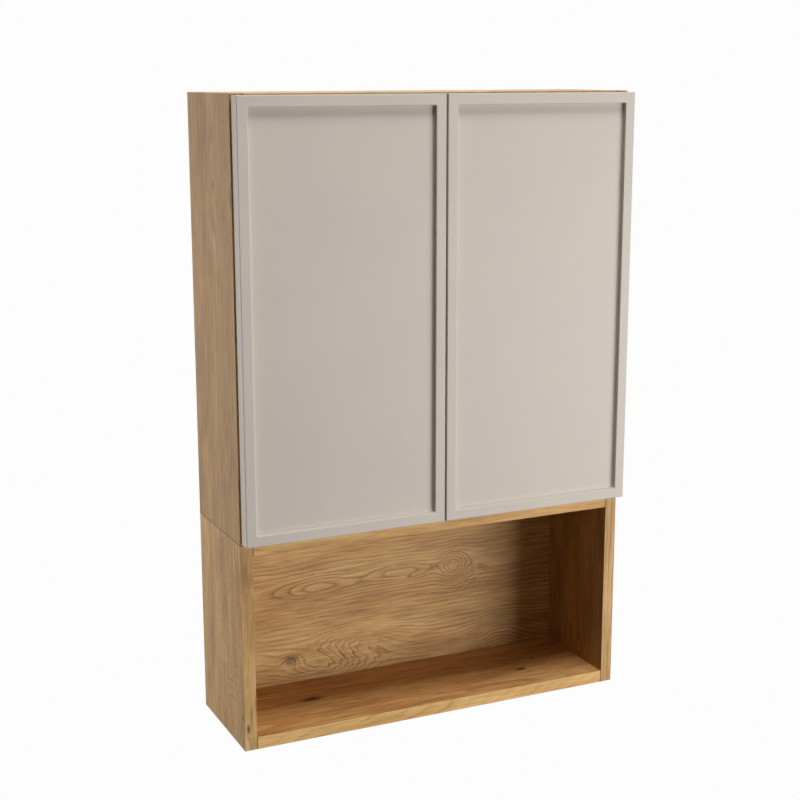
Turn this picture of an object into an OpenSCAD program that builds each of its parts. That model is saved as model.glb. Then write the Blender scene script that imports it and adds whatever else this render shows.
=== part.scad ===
// Wall-hung bathroom cabinet: a closed upper unit with two doors over an open lower unit.
// Origin: on the wall, midway between the two wall plates, at the height of their screws.
// X runs to the right, Y towards the wall and Z upwards; the doors face -Y.

/* [Units] */
// Outer width of both units
cabinet_w = 600; // [560:10:720]
// Height of the closed upper unit
upper_h = 600; // [560:10:760]
// Height of the open lower unit
lower_h = 300; // [220:10:420]
// Depth of both units, without the doors
carcass_d = 178; // [172:1:240]
// Thickness of the sides, tops, bottoms and shelves
board_t = 18; // [17:0.5:20]
// Thickness of the strips that cover the boards' front edges
edge_band_t = 1; // [0.5:0.5:2]
// Thickness of the upper unit's back panel
thin_back_t = 8; // [4:1:9]
// Space behind the thin back panel, where the hangers hook on
back_void = 18; // [17:1:22]
// Depth of the groove that holds the thin back panel
groove_depth = 8; // [5:1:9]
// Clearance of the thin back panel in its groove
groove_gap = 0.2; // [0.1:0.05:0.4]
// Thickness of the lower unit's back panel
niche_back_t = 18; // [12:1:20]

/* [Dowels and connectors] */
// Diameter of the wooden dowels
dowel_d = 8; // [6:1:8]
// Length of the wooden dowels
dowel_len = 35; // [30:1:38]
// How deep a dowel goes into the face of a side
dowel_in_side = 12; // [8:1:13]
// Distance of the outer dowels from the front and rear edges of a panel
dowel_inset = 32; // [28:1:40]
// Clearance round a dowel, on its radius
dowel_gap = 0.05; // [0.03:0.01:0.1]
// Outer diameter of the connector sleeves between the units
sleeve_d = 8; // [7:0.5:9]
// Diameter of the connector bolts' shanks
bolt_d = 5.8; // [5:0.2:6]
// Diameter of the connectors' flat heads
connector_head_d = 14; // [12:0.5:16]
// Thickness of the connectors' flat heads
connector_head_t = 1.6; // [1:0.1:2]
// Distance of the connectors from the sides' inner faces
connector_inset = 60; // [40:5:100]

/* [Shelves] */
// Depth of the two shelves with their edge strip
shelf_d = 128; // [110:1:134]
// Clearance at each end of a shelf
shelf_side_gap = 0.8; // [0.5:0.1:1.5]
// Diameter of the bores for shelf supports and hinge plates
line_bore_d = 5; // [4.5:0.1:5.5]
// Depth of those bores
line_bore_depth = 12; // [11:0.5:13]
// Pitch of those bores
line_pitch = 32; // [28:1:34]
// Distance of the front row of bores from the boards' front edges
line_setback = 37; // [34:1:42]
// Distance between the front and rear rows of bores
line_row_span = 96; // [80:1:100]
// How far a shelf support stands out of the side
support_len = 8; // [6:0.5:10]
// Clearance round a shelf support in its bore, on its radius
support_gap = 0.05; // [0.03:0.01:0.1]
// Positions in each group of shelf bores
shelf_bores = 5; // [3:2:5]

/* [Doors] */
// Thickness of each door
door_t = 20; // [19.5:0.5:24]
// Gap between the doors and the front edges of the upper unit
door_front_gap = 2; // [1.8:0.1:3]
// How far the doors stop short of the upper unit's outside
door_margin = 2; // [1:0.5:3]
// Gap between the two doors
door_mid_gap = 2.5; // [2:0.5:5]
// Width of the raised border round each door
border_w = 15; // [10:1:30]
// Depth of the field inside the border
recess_depth = 6; // [4:0.5:7.5]
// Radius of the field's inner corners
recess_corner_r = 1.5; // [1:0.5:6]
// Rounding of the door's outer front edges
door_edge_r = 1.2; // [0.5:0.1:3]

/* [Push latches] */
// Width and height of a latch housing
latch_w = 12; // [11:0.5:16]
// Length of a latch housing
latch_len = 74; // [60:1:90]
// Diameter of a latch plunger
plunger_d = 7; // [6:0.5:8]
// How far a plunger comes out when its door is fully open
plunger_travel = 14; // [10:1:20]
// Running clearance round a plunger, on its radius
plunger_gap = 0.1; // [0.05:0.05:0.3]
// Distance of the latches from the middle of the unit
latch_offset = 34; // [24:1:60]
// Distance of a latch housing's face behind the boards' front edges
latch_setback = 3; // [2:0.5:6]
// Thickness of the steel strike plates
strike_t = 0.8; // [0.5:0.1:1.2]
// Clearance between a plunger's tip and its strike plate
strike_gap = 0.3; // [0.2:0.1:0.6]

/* [Hangers] */
// Height of a hanger housing
hanger_h = 56; // [50:1:70]
// Width of a hanger housing
hanger_w = 17; // [15:1:22]
// Depth of a hanger housing in front of the thin back panel
hanger_d = 34; // [30:1:50]
// Thickness of a hook
hook_t = 2.5; // [2:0.5:3]
// Width of a hook
hook_w = 10; // [8:1:12]
// Thickness of a wall plate
wall_plate_t = 2; // [1.5:0.5:2.5]
// Width of a wall plate
wall_plate_w = 60; // [50:2:80]
// Height of a wall plate's flat part
wall_plate_h = 34; // [30:1:44]
// How far a wall plate's lip stands off the wall
lip_off = 8; // [7:0.5:9]
// Height of a wall plate's lip
lip_h = 9; // [7:0.5:10]
// Distance between a wall plate's two screw holes
wall_hole_span = 32; // [24:1:40]
// Diameter of a wall plate's screw holes
wall_hole_d = 5.5; // [4.5:0.5:6.5]

/* [Hinges] */
// Distance of each hinge's middle from the door's top or bottom edge
hinge_inset = 100; // [90:5:120]
// Diameter of a hinge cup
cup_d = 35; // [34.8:0.1:35.6]
// Depth of a hinge cup in the door
cup_depth = 11.5; // [11.5:0.1:12]
// Distance between a cup's rim and the door's edge
cup_edge = 5; // [4.8:0.1:5.1]
// Thickness of a cup's wall
cup_wall = 1.2; // [0.8:0.1:1.3]
// Thickness of a cup's floor
cup_floor = 1; // [0.5:0.1:1.1]
// Height of the pocket inside a cup
cup_pocket_h = 12; // [11.6:0.1:13]
// Thickness of a cup's flange on the door
cup_flange_t = 1; // [0.6:0.1:1.2]
// Distance between a cup's two screws
cup_screw_span = 48; // [46:1:52]
// How far the cup's screws lie behind its middle, away from the door's edge
cup_screw_offset = 9.5; // [8:0.5:10]
// Shank diameter of the cup and latch screws
small_screw_d = 3.4; // [3:0.1:4]
// Length of the cup and latch screws
small_screw_len = 10; // [8:0.5:11]
// Clearance round a cup and round every screw, on the radius
hole_gap = 0.05; // [0.03:0.01:0.1]
// Distance of the outer link's arm pin from the side's outer face
outer_arm_pin_x = 41.1; // [41:0.1:41.3]
// Distance of the outer link's arm pin behind the boards' front edges
outer_arm_pin_y = 14.4; // [14.2:0.1:14.6]
// Distance of the inner link's slide pin from the side's outer face
slide_pin_x = 36.3; // [36.2:0.1:36.5]
// Distance of the inner link's slide pin in front of the boards' front edges
slide_pin_y = 2.3; // [2.1:0.1:2.4]
// Distance of the outer link's cup pin from the side's outer face
outer_cup_pin_x = 14.8; // [14.7:0.1:14.9]
// Distance of the outer link's cup pin in front of the boards' front edges
outer_cup_pin_y = 4.4; // [4.3:0.1:4.5]
// Distance of the inner link's cup pin from the side's outer face
inner_cup_pin_x = 17.7; // [17.6:0.1:17.9]
// Distance of the inner link's cup pin in front of the boards' front edges
inner_cup_pin_y = 6.9; // [6.8:0.1:7]
// Diameter of the hinge pins
pin_d = 2; // [1.8:0.1:2.1]
// Running clearance round a hinge pin, on its radius
pin_gap = 0.05; // [0.03:0.01:0.08]
// Thickness of the sheet that the links are cut from
link_t = 1.6; // [1.4:0.1:1.8]
// Width of the links' narrow stretches
link_w = 2.8; // [2.4:0.1:3]
// Width of the metal round a link's pin hole
link_eye_w = 1.3; // [1:0.1:1.3]
// Clearance between neighbouring link and arm plates
plate_gap = 0.35; // [0.3:0.05:0.4]
// Thickness of the arm's nose between the inner link's plates
nose_t = 3; // [2.6:0.1:3.2]
// Width of the arm's nose
nose_w = 4.6; // [4.2:0.1:4.8]
// Length of the slot's travel in the arm's nose
slot_travel = 2.3; // [2.2:0.1:2.6]
// Clearance of the slide pin across its slot
slot_gap = 0.3; // [0.25:0.05:0.35]
// Width of the metal round the slot
slot_wall = 0.9; // [0.8:0.05:1]
// Thickness of a mounting plate's foot
foot_t = 2; // [1.6:0.2:2.4]
// Height of a mounting plate's foot, along the side
foot_h = 50; // [48:1:56]
// Width of a mounting plate's foot
foot_w = 18; // [16:1:20]
// Height of a mounting plate's ridge above the side
ridge_top = 8; // [7:0.5:8.5]
// Width of a mounting plate's ridge
ridge_w = 12; // [10:0.5:13]
// Length of a hinge arm's channel
arm_len = 46; // [42:1:52]
// Start of the hinge arm's channel behind the boards' front edges
arm_start = 21; // [20:1:23]
// Thickness of the sheet that the arm is bent from
arm_t = 1.6; // [1.2:0.1:1.8]
// Clearance between an arm and its mounting plate
arm_gap = 0.3; // [0.2:0.05:0.4]
// Diameter of the screws in an arm
arm_screw_d = 4; // [3:0.5:4.5]

/* [Hidden] */
$fn = 48;

// Overlap of a cut with the face that it leaves
cut = 0.5;

// Outlines of the two units
half_w = cabinet_w / 2;
inner_half = half_w - board_t;
total_h = lower_h + upper_h;
front_y = -carcass_d;
board_front_y = front_y + edge_band_t;
upper_floor_z = lower_h + board_t;
upper_ceiling_z = total_h - board_t;
lower_ceiling_z = lower_h - board_t;

// Rear of the upper unit
thin_back_rear_y = -back_void;
thin_back_front_y = thin_back_rear_y - thin_back_t;

// Doors
door_back_y = front_y - door_front_gap;
door_front_y = door_back_y - door_t;
door_w = (cabinet_w - 2 * door_margin - door_mid_gap) / 2;
door_bottom_z = lower_h + door_margin;
door_top_z = total_h - door_margin;
door_h = door_top_z - door_bottom_z;

// Heights of the hinges and of the bores in the sides
hinge_heights = [door_bottom_z + hinge_inset, door_top_z - hinge_inset];
front_row_y = front_y + line_setback;
rear_row_y = front_row_y + line_row_span;
bay_h = (upper_ceiling_z - upper_floor_z) / 3;
shelf_bore_heights = [upper_floor_z + bay_h, upper_floor_z + 2 * bay_h];
shelf_bore_steps = [-(shelf_bores - 1) / 2 : (shelf_bores - 1) / 2];

// Dowel places: rows along the depth, and heights of the panels' middles
dowel_back_inset = 44;
dowel_rows = [board_front_y + dowel_inset, -dowel_back_inset];
upper_panel_mids = [lower_h + board_t / 2, total_h - board_t / 2];
lower_panel_mids = [board_t / 2, lower_h - board_t / 2];
niche_back_dowel_heights = [lower_h / 3, 2 * lower_h / 3];
dowel_hole_extra = 0.5;

// Connectors between the units
connector_back_inset = 60;
connector_rows = [front_y + connector_back_inset, -connector_back_inset];
connector_xs = [-(inner_half - connector_inset), inner_half - connector_inset];
sleeve_end_room = 9;
sleeve_len = 2 * board_t - sleeve_end_room;
bolt_end_room = 7;
bolt_len = 2 * board_t - bolt_end_room;
connector_recess_w = 5;
connector_recess_depth = 1.2;

// Shelf supports: a peg in the bore and a flat-topped head under the shelf
support_head_d = 7;
support_flat = 0.6;
peg_end_gap = 1;
peg_overlap = 1;
shelf_rest = support_head_d / 2 - support_flat;
shelf_back_gap = 1;
shelf_rear_y = thin_back_front_y - shelf_back_gap;

// Hinge places in the hinge's own plane: X from the side's outer face inwards,
// Y from the boards' front edges towards the wall
outer_arm_pin = [outer_arm_pin_x, outer_arm_pin_y];
slide_pin = [slide_pin_x, -slide_pin_y];
outer_cup_pin = [outer_cup_pin_x, -outer_cup_pin_y];
inner_cup_pin = [inner_cup_pin_x, -inner_cup_pin_y];
cup_x = door_margin + cup_edge + cup_d / 2;
cup_mouth_y = -door_front_gap;
cup_screw_x = cup_x + cup_screw_offset;
pin_r = pin_d / 2;
eye_r = pin_r + pin_gap + link_eye_w;

// Plates of a hinge, from its middle plane outwards
inner_link_z = nose_t / 2 + plate_gap;
outer_link_z = inner_link_z + link_t + plate_gap;
links_half_h = outer_link_z + link_t;
cup_pin_reach = 3.2;
cup_pin_half = links_half_h + cup_pin_reach;
cup_stub_start = outer_link_z - plate_gap / 2;
arm_pin_reach = 0.5;
arm_pin_half = links_half_h + arm_pin_reach;
slide_pin_half = inner_link_z + link_t;

// A cup's rim and the ears for its screws
cup_rim_w = 1.5;
cup_ear_w = 12;
cup_ear_margin = 5;
cup_ear_corner_r = 3;

// Screw heads, and the room under a screw's tip in its bore
small_head_d = 6.4;
cup_head_t = 0.8;
latch_head_t = 1;
plate_head_d = 8;
plate_head_t = 1.6;
arm_head_d = 7;
arm_head_t = 1.4;
screw_tip_gap = 1;

// Bends of the links, which pass round the cup's rim when the door is open
outer_link_path = [
    outer_cup_pin, outer_cup_pin + [2.7, 0.5], outer_cup_pin + [6.4, -0.4],
    outer_cup_pin + [12.7, 6], outer_arm_pin
];
inner_link_path = [
    inner_cup_pin, inner_cup_pin + [7.8, -2.3], inner_cup_pin + [12.8, -2.4],
    slide_pin + [-1.3, -5.1], slide_pin
];
bend_swell = 0.1;
slot_angle = -54;
slot_offset = -0.09;

// Mounting plate and arm
foot_x = board_t;
ridge_x = board_t + ridge_top;
arm_web_x = ridge_x + arm_gap;
arm_half_h = ridge_w / 2 + arm_gap + arm_t;
arm_end = arm_start + arm_len;
clamp_screw_inset = 12;
clamp_screw_y = arm_end - clamp_screw_inset;
side_screw_inset = 15;
side_screw_y = arm_start + side_screw_inset;
nose_overlap = 8;
nose_root = [arm_web_x + arm_t / 2, arm_start + nose_overlap];

// Push latches
latch_z = upper_ceiling_z - latch_w / 2;
latch_front_y = front_y + latch_setback;
latch_rear_y = latch_front_y + latch_len;
strike_y = door_back_y + strike_t;
plunger_tip_y = strike_y + strike_gap;
plunger_r = plunger_d / 2;
plunger_bore_r = plunger_r + plunger_gap;
latch_rear_wall = 4;
spring_len = 26;
spring_gap = 0.2;
spring_wall = 0.8;
plunger_rear_y = latch_rear_y - latch_rear_wall - spring_len;
magnet_t = 3;
magnet_wall = 0.8;
magnet_r = plunger_r - magnet_wall;
latch_flange_t = 2;
latch_flange_w = 28;
latch_flange_len = 40;
latch_screw_x = 10;
strike_r = 8;

// Hangers and wall plates
hanger_top_gap = 0.5;
hanger_top_z = upper_ceiling_z - hanger_top_gap;
hanger_x = -inner_half + hanger_w / 2;
hanger_front_y = thin_back_front_y - hanger_d;
hook_drop = 14;
hook_z = hanger_top_z - hook_drop;
tooth_end_gap = 2;
tooth_len = lip_h - tooth_end_gap;
tooth_gap = 0.5;
tooth_front_y = -lip_off + wall_plate_t + tooth_gap;
hook_setback = 12;
hook_front_y = hanger_front_y + hook_setback;
hook_leg_len = 22;
hook_room = 4;
wall_plate_top_z = hook_z - lip_h;
wall_plate_gap = 1;
wall_plate_x = -inner_half + wall_plate_gap + wall_plate_w / 2;
hang_z = wall_plate_top_z - wall_plate_h / 2;
spigot_d = 10;
spigot_len = 11;
spigot_inset = 14;
spigot_heights = [spigot_inset, hanger_h - spigot_inset];
hanger_screw_d = 6;
height_screw_setback = 8;
depth_screw_inset = 1;
depth_recess_w = 4;
depth_recess_depth = 1.5;
cover_t = 1.5;

// Moves the origin from the foot of the wall face to the line of the wall screws
module at_datum() {
    translate([0, 0, -hang_z]) children();
}

// A block between two corners
module block(low, high) {
    translate(low) cube(high - low);
}

// The left-hand shape as it is, or mirrored to the right
module on_side(right) {
    if (right) mirror([1, 0, 0]) children();
    else children();
}

module both_sides() {
    children();
    mirror([1, 0, 0]) children();
}

// The hinge's own frame at both hinges of the left door
module at_hinges() {
    for (z = hinge_heights) translate([-half_w, front_y, z]) children();
}

// A rod along X, Y or Z that starts at a point
module rod_x(start, len, r) { translate(start) rotate([0, 90, 0]) cylinder(h = len, r = r); }
module rod_y(start, len, r) { translate(start) rotate([-90, 0, 0]) cylinder(h = len, r = r); }
module rod_z(start, len, r) { translate(start) cylinder(h = len, r = r); }

// A flat strip between two points, and the same with round ends
module strip_2d(from, to, w) {
    span = to - from;
    translate(from) rotate(atan2(span[1], span[0])) translate([0, -w / 2]) square([norm(span), w]);
}

module bar_2d(from, to, w) {
    strip_2d(from, to, w);
    for (p = [from, to]) translate(p) circle(d = w);
}

// A bent strip, a little wider at its bends
module path_2d(points, w) {
    for (i = [1 : len(points) - 1]) strip_2d(points[i - 1], points[i], w);
    for (p = points) translate(p) circle(d = w + bend_swell);
}

// A rectangle with rounded corners
module rounded_2d(size, r) {
    for (x = [r, size[0] - r], y = [r, size[1] - r]) translate([x, y]) circle(r = r);
    translate([r, 0]) square([size[0] - 2 * r, size[1]]);
    translate([0, r]) square([size[0], size[1] - 2 * r]);
}

// Holes for the dowels that join a side to its panels
module side_dowel_holes(mids) {
    for (z = mids, y = dowel_rows)
        rod_x([-inner_half - dowel_in_side - dowel_hole_extra, y, z],
              dowel_in_side + dowel_hole_extra + cut, dowel_d / 2 + dowel_gap);
}

module panel_dowel_holes(z) {
    depth = dowel_len - dowel_in_side + dowel_hole_extra;
    for (y = dowel_rows)
        rod_x([-inner_half - cut, y, z], depth + cut, dowel_d / 2 + dowel_gap);
}

// Holes for the connectors, through a panel
module connector_holes(z0, z1) {
    for (x = connector_xs, y = connector_rows)
        rod_z([x, y, z0 - cut], z1 - z0 + 2 * cut, sleeve_d / 2 + hole_gap);
}

// The slot that takes the thin back panel, cut in the inner face of a side
module back_groove() {
    block([-inner_half - groove_depth, thin_back_front_y - groove_gap, upper_floor_z - groove_depth],
          [-inner_half + cut, thin_back_rear_y + groove_gap, upper_ceiling_z + groove_depth]);
}

module line_bore(y, z) {
    rod_x([-inner_half - line_bore_depth, y, z], line_bore_depth + cut, line_bore_d / 2);
}

module upper_side() {
    color("BurlyWood") difference() {
        block([-half_w, board_front_y, lower_h], [-inner_half, 0, total_h]);
        back_groove();
        side_dowel_holes(upper_panel_mids);
        for (z = hinge_heights, step = [-1, 1]) line_bore(front_row_y, z + step * line_pitch / 2);
        for (z = shelf_bore_heights, step = shelf_bore_steps, y = [front_row_y, rear_row_y])
            line_bore(y, z + step * line_pitch);
        for (z = spigot_heights)
            rod_x([-inner_half - spigot_len - dowel_hole_extra, thin_back_front_y - hanger_d / 2,
                   hanger_top_z - hanger_h + z],
                  spigot_len + dowel_hole_extra + cut, spigot_d / 2 + hole_gap);
    }
}

module upper_left_side() { at_datum() on_side(false) upper_side(); }
module upper_right_side() { at_datum() on_side(true) upper_side(); }

// A top or bottom board of the upper unit, grooved on the face at groove_z
module upper_board(z, groove_low, groove_high) {
    difference() {
        block([-inner_half, board_front_y, z], [inner_half, 0, z + board_t]);
        block([-inner_half - cut, thin_back_front_y - groove_gap, groove_low],
              [inner_half + cut, thin_back_rear_y + groove_gap, groove_high]);
        both_sides() panel_dowel_holes(z + board_t / 2);
        children();
    }
}

module upper_top_panel() {
    at_datum() color("BurlyWood")
        upper_board(upper_ceiling_z, upper_ceiling_z - cut, upper_ceiling_z + groove_depth)
            both_sides() for (x = [-latch_screw_x, latch_screw_x])
                rod_z([-latch_offset + x, latch_flange_y(), upper_ceiling_z - cut],
                      small_screw_len + cut, small_screw_d / 2 + hole_gap);
}

module upper_bottom_panel() {
    at_datum() color("BurlyWood")
        upper_board(lower_h, upper_floor_z - groove_depth, upper_floor_z + cut)
            connector_holes(lower_h, upper_floor_z);
}

// The thin back panel, notched at its top corners for the hangers
module upper_back_panel() {
    reach = groove_depth - groove_gap;
    at_datum() color("Tan") difference() {
        block([-inner_half - reach, thin_back_front_y, upper_floor_z - reach],
              [inner_half + reach, thin_back_rear_y, upper_ceiling_z + reach]);
        both_sides()
            block([-inner_half - groove_depth - cut, thin_back_front_y - cut,
                   hanger_top_z - hanger_h - hanger_top_gap],
                  [-inner_half + hanger_w + hanger_top_gap, thin_back_rear_y + cut,
                   upper_ceiling_z + groove_depth + cut]);
    }
}

// Strips on the front edges of one unit's sides and panels
module edge_strips(z0, z1) {
    both_sides() block([-half_w, front_y, z0], [-inner_half, board_front_y, z1]);
    for (z = [z0, z1 - board_t])
        block([-inner_half, front_y, z], [inner_half, board_front_y, z + board_t]);
}

module upper_edge_strips() { at_datum() color("Peru") edge_strips(lower_h, total_h); }
module lower_edge_strips() { at_datum() color("Peru") edge_strips(0, lower_h); }

module corner_dowel(y, z) {
    rod_x([-inner_half - dowel_in_side, y, z], dowel_len, dowel_d / 2);
}

module upper_dowels() {
    at_datum() color("Wheat") both_sides()
        for (z = upper_panel_mids, y = dowel_rows) corner_dowel(y, z);
}

module lower_dowels() {
    at_datum() color("Wheat") both_sides() {
        for (z = lower_panel_mids, y = dowel_rows) corner_dowel(y, z);
        for (z = niche_back_dowel_heights) corner_dowel(-niche_back_t / 2, z);
    }
}

module lower_side() {
    color("BurlyWood") difference() {
        block([-half_w, board_front_y, 0], [-inner_half, 0, lower_h]);
        side_dowel_holes(lower_panel_mids);
        for (z = niche_back_dowel_heights)
            rod_x([-inner_half - dowel_in_side - dowel_hole_extra, -niche_back_t / 2, z],
                  dowel_in_side + dowel_hole_extra + cut, dowel_d / 2 + dowel_gap);
    }
}

module lower_left_side() { at_datum() on_side(false) lower_side(); }
module lower_right_side() { at_datum() on_side(true) lower_side(); }

module lower_board(z) {
    difference() {
        block([-inner_half, board_front_y, z], [inner_half, 0, z + board_t]);
        both_sides() panel_dowel_holes(z + board_t / 2);
        children();
    }
}

module lower_top_panel() {
    at_datum() color("BurlyWood") lower_board(lower_ceiling_z)
        connector_holes(lower_ceiling_z, lower_h);
}

module lower_bottom_panel() {
    at_datum() color("BurlyWood") lower_board(0);
}

module lower_back_panel() {
    depth = dowel_len - dowel_in_side + dowel_hole_extra;
    at_datum() color("BurlyWood") difference() {
        block([-inner_half, -niche_back_t, board_t], [inner_half, 0, lower_ceiling_z]);
        both_sides() for (z = niche_back_dowel_heights)
            rod_x([-inner_half - cut, -niche_back_t / 2, z], depth + cut,
                  dowel_d / 2 + dowel_gap);
    }
}

module at_connectors(z) {
    for (x = connector_xs, y = connector_rows) translate([x, y, z]) children();
}

module connector_sleeves() {
    at_datum() color("Silver") at_connectors(lower_ceiling_z) difference() {
        union() {
            cylinder(h = sleeve_len, d = sleeve_d);
            translate([0, 0, -connector_head_t])
                cylinder(h = connector_head_t, d = connector_head_d);
        }
        translate([0, 0, cut]) cylinder(h = sleeve_len, d = bolt_d + 2 * hole_gap);
    }
}

module connector_bolts() {
    at_datum() color("Silver") at_connectors(upper_floor_z) difference() {
        union() {
            translate([0, 0, -bolt_len]) cylinder(h = bolt_len, d = bolt_d);
            cylinder(h = connector_head_t, d = connector_head_d);
        }
        cross_recess(connector_head_t, connector_recess_w, connector_recess_depth);
    }
}

// A cross for a screwdriver, cut down from the height z
module cross_recess(z, len, depth) {
    slot = len / 4;
    translate([-len / 2, -slot / 2, z - depth]) cube([len, slot, depth + cut]);
    translate([-slot / 2, -len / 2, z - depth]) cube([slot, len, depth + cut]);
}

module shelf(z) {
    reach = inner_half - shelf_side_gap;
    block([-reach, shelf_rear_y - shelf_d + edge_band_t, z], [reach, shelf_rear_y, z + board_t]);
}

module top_shelf() { at_datum() color("BurlyWood") shelf(shelf_bore_heights[1] + shelf_rest); }
module bottom_shelf() { at_datum() color("BurlyWood") shelf(shelf_bore_heights[0] + shelf_rest); }

module shelf_edge_strips() {
    reach = inner_half - shelf_side_gap;
    edge_y = shelf_rear_y - shelf_d;
    at_datum() color("Peru") for (z = shelf_bore_heights)
        block([-reach, edge_y, z + shelf_rest], [reach, edge_y + edge_band_t, z + shelf_rest + board_t]);
}

module shelf_supports() {
    peg_len = line_bore_depth - peg_end_gap;
    at_datum() color("Silver") both_sides()
        for (z = shelf_bore_heights, y = [front_row_y, rear_row_y]) difference() {
            union() {
                rod_x([-inner_half - peg_len, y, z], peg_len + peg_overlap,
                      line_bore_d / 2 - support_gap);
                rod_x([-inner_half, y, z], support_len, support_head_d / 2);
            }
            block([-inner_half - cut, y - support_head_d, z + shelf_rest],
                  [-inner_half + support_len + cut, y + support_head_d, z + support_head_d]);
        }
}

// Cross-section of a door with its two front edges rounded; back at Y = 0
module door_section(w) {
    r = door_edge_r;
    translate([0, -door_t + r]) square([w, door_t - r]);
    translate([r, -door_t]) square([w - 2 * r, r]);
    for (x = [r, w - r]) translate([x, -door_t + r]) circle(r = r);
}

// The left door: a slab with rounded front edges, a sunk field and bores for its cups
module door() {
    color("AntiqueWhite") difference() {
        translate([-half_w + door_margin, door_back_y, door_bottom_z]) intersection() {
            linear_extrude(door_h) door_section(door_w);
            translate([door_w, 0, 0]) rotate([0, -90, 0])
                linear_extrude(door_w) door_section(door_h);
        }
        translate([-half_w + door_margin + border_w, door_front_y + recess_depth,
                   door_bottom_z + border_w]) rotate([90, 0, 0])
            linear_extrude(recess_depth + cut)
                rounded_2d([door_w - 2 * border_w, door_h - 2 * border_w], recess_corner_r);
        at_hinges() {
            rod_y([cup_x, cup_mouth_y - cup_depth, 0], cup_depth + cut, cup_d / 2 + hole_gap);
            for (z = [-1, 1])
                rod_y([cup_screw_x, cup_mouth_y - small_screw_len, z * cup_screw_span / 2],
                      small_screw_len + cut, small_screw_d / 2 + hole_gap);
        }
    }
}

module left_door() { at_datum() on_side(false) door(); }
module right_door() { at_datum() on_side(true) door(); }

// A hinge cup with its flange, its pocket and the holes for its pins and screws
module hinge_cup() {
    pocket_r = cup_d / 2 - cup_wall;
    ear_h = cup_screw_span + 2 * cup_ear_margin;
    difference() {
        union() {
            rod_y([cup_x, cup_mouth_y - cup_depth, 0], cup_depth, cup_d / 2);
            rod_y([cup_x, cup_mouth_y, 0], cup_flange_t, cup_d / 2 + cup_rim_w);
            translate([cup_screw_x - cup_ear_w / 2, cup_mouth_y + cup_flange_t, -ear_h / 2])
                rotate([90, 0, 0]) linear_extrude(cup_flange_t)
                    rounded_2d([cup_ear_w, ear_h], cup_ear_corner_r);
        }
        intersection() {
            rod_y([cup_x, cup_mouth_y - cup_depth + cup_floor, 0], cup_depth + 2 * cut, pocket_r);
            block([cup_x - pocket_r, cup_mouth_y - cup_depth, -cup_pocket_h / 2],
                  [cup_x + pocket_r, cup_mouth_y + cup_depth, cup_pocket_h / 2]);
        }
        for (p = [outer_cup_pin, inner_cup_pin])
            rod_z([p[0], p[1], -cup_pin_half - cut], 2 * (cup_pin_half + cut), pin_r + pin_gap);
        for (z = [-1, 1])
            rod_y([cup_screw_x, cup_mouth_y - cut, z * cup_screw_span / 2],
                  cup_flange_t + 2 * cut, small_screw_d / 2 + hole_gap);
    }
}

module left_hinge_cups() { at_datum() color("Silver") at_hinges() hinge_cup(); }
module right_hinge_cups() { at_datum() color("Silver") on_side(true) at_hinges() hinge_cup(); }

// Two short pins for the outer link's plates, and one long pin for the inner link
module cup_pins() {
    for (up = [0, 1]) mirror([0, 0, up])
        rod_z([outer_cup_pin[0], outer_cup_pin[1], cup_stub_start], cup_pin_half - cup_stub_start,
              pin_r);
    rod_z([inner_cup_pin[0], inner_cup_pin[1], -cup_pin_half], 2 * cup_pin_half, pin_r);
}

module left_cup_pins() { at_datum() color("DimGray") at_hinges() cup_pins(); }
module right_cup_pins() { at_datum() color("DimGray") on_side(true) at_hinges() cup_pins(); }

// A screw along Z with a flat round head above Z = 0
module screw(d, len, head_d, head_t) {
    difference() {
        union() {
            translate([0, 0, -len]) cylinder(h = len, d = d);
            cylinder(h = head_t, d = head_d);
        }
        cross_recess(head_t, head_d * 0.6, head_t * 0.7);
    }
}

module cup_screws() {
    for (z = [-1, 1]) translate([cup_screw_x, cup_mouth_y + cup_flange_t, z * cup_screw_span / 2])
        rotate([-90, 0, 0]) screw(small_screw_d, small_screw_len, small_head_d, cup_head_t);
}

module left_cup_screws() { at_datum() color("Silver") at_hinges() cup_screws(); }
module right_cup_screws() { at_datum() color("Silver") on_side(true) at_hinges() cup_screws(); }

// Two link plates, one on each side of the hinge's middle plane
module link_plates(path, z, holes) {
    for (up = [0, 1]) mirror([0, 0, up]) translate([0, 0, z]) linear_extrude(link_t)
        difference() {
            union() {
                path_2d(path, link_w);
                for (p = holes) translate(p) circle(r = eye_r);
            }
            for (p = holes) translate(p) circle(r = pin_r + pin_gap);
        }
}

module outer_links() {
    link_plates(outer_link_path, outer_link_z, [outer_cup_pin, outer_arm_pin]);
}

module left_outer_links() { at_datum() color("Silver") at_hinges() outer_links(); }
module right_outer_links() { at_datum() color("Silver") on_side(true) at_hinges() outer_links(); }

module inner_links() {
    link_plates(inner_link_path, inner_link_z, [inner_cup_pin, slide_pin]);
}

module left_inner_links() { at_datum() color("Gray") at_hinges() inner_links(); }
module right_inner_links() { at_datum() color("Gray") on_side(true) at_hinges() inner_links(); }

module slide_pins() {
    rod_z([slide_pin[0], slide_pin[1], -slide_pin_half], 2 * slide_pin_half, pin_r);
}

module left_slide_pins() { at_datum() color("DimGray") at_hinges() slide_pins(); }
module right_slide_pins() { at_datum() color("DimGray") on_side(true) at_hinges() slide_pins(); }

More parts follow.
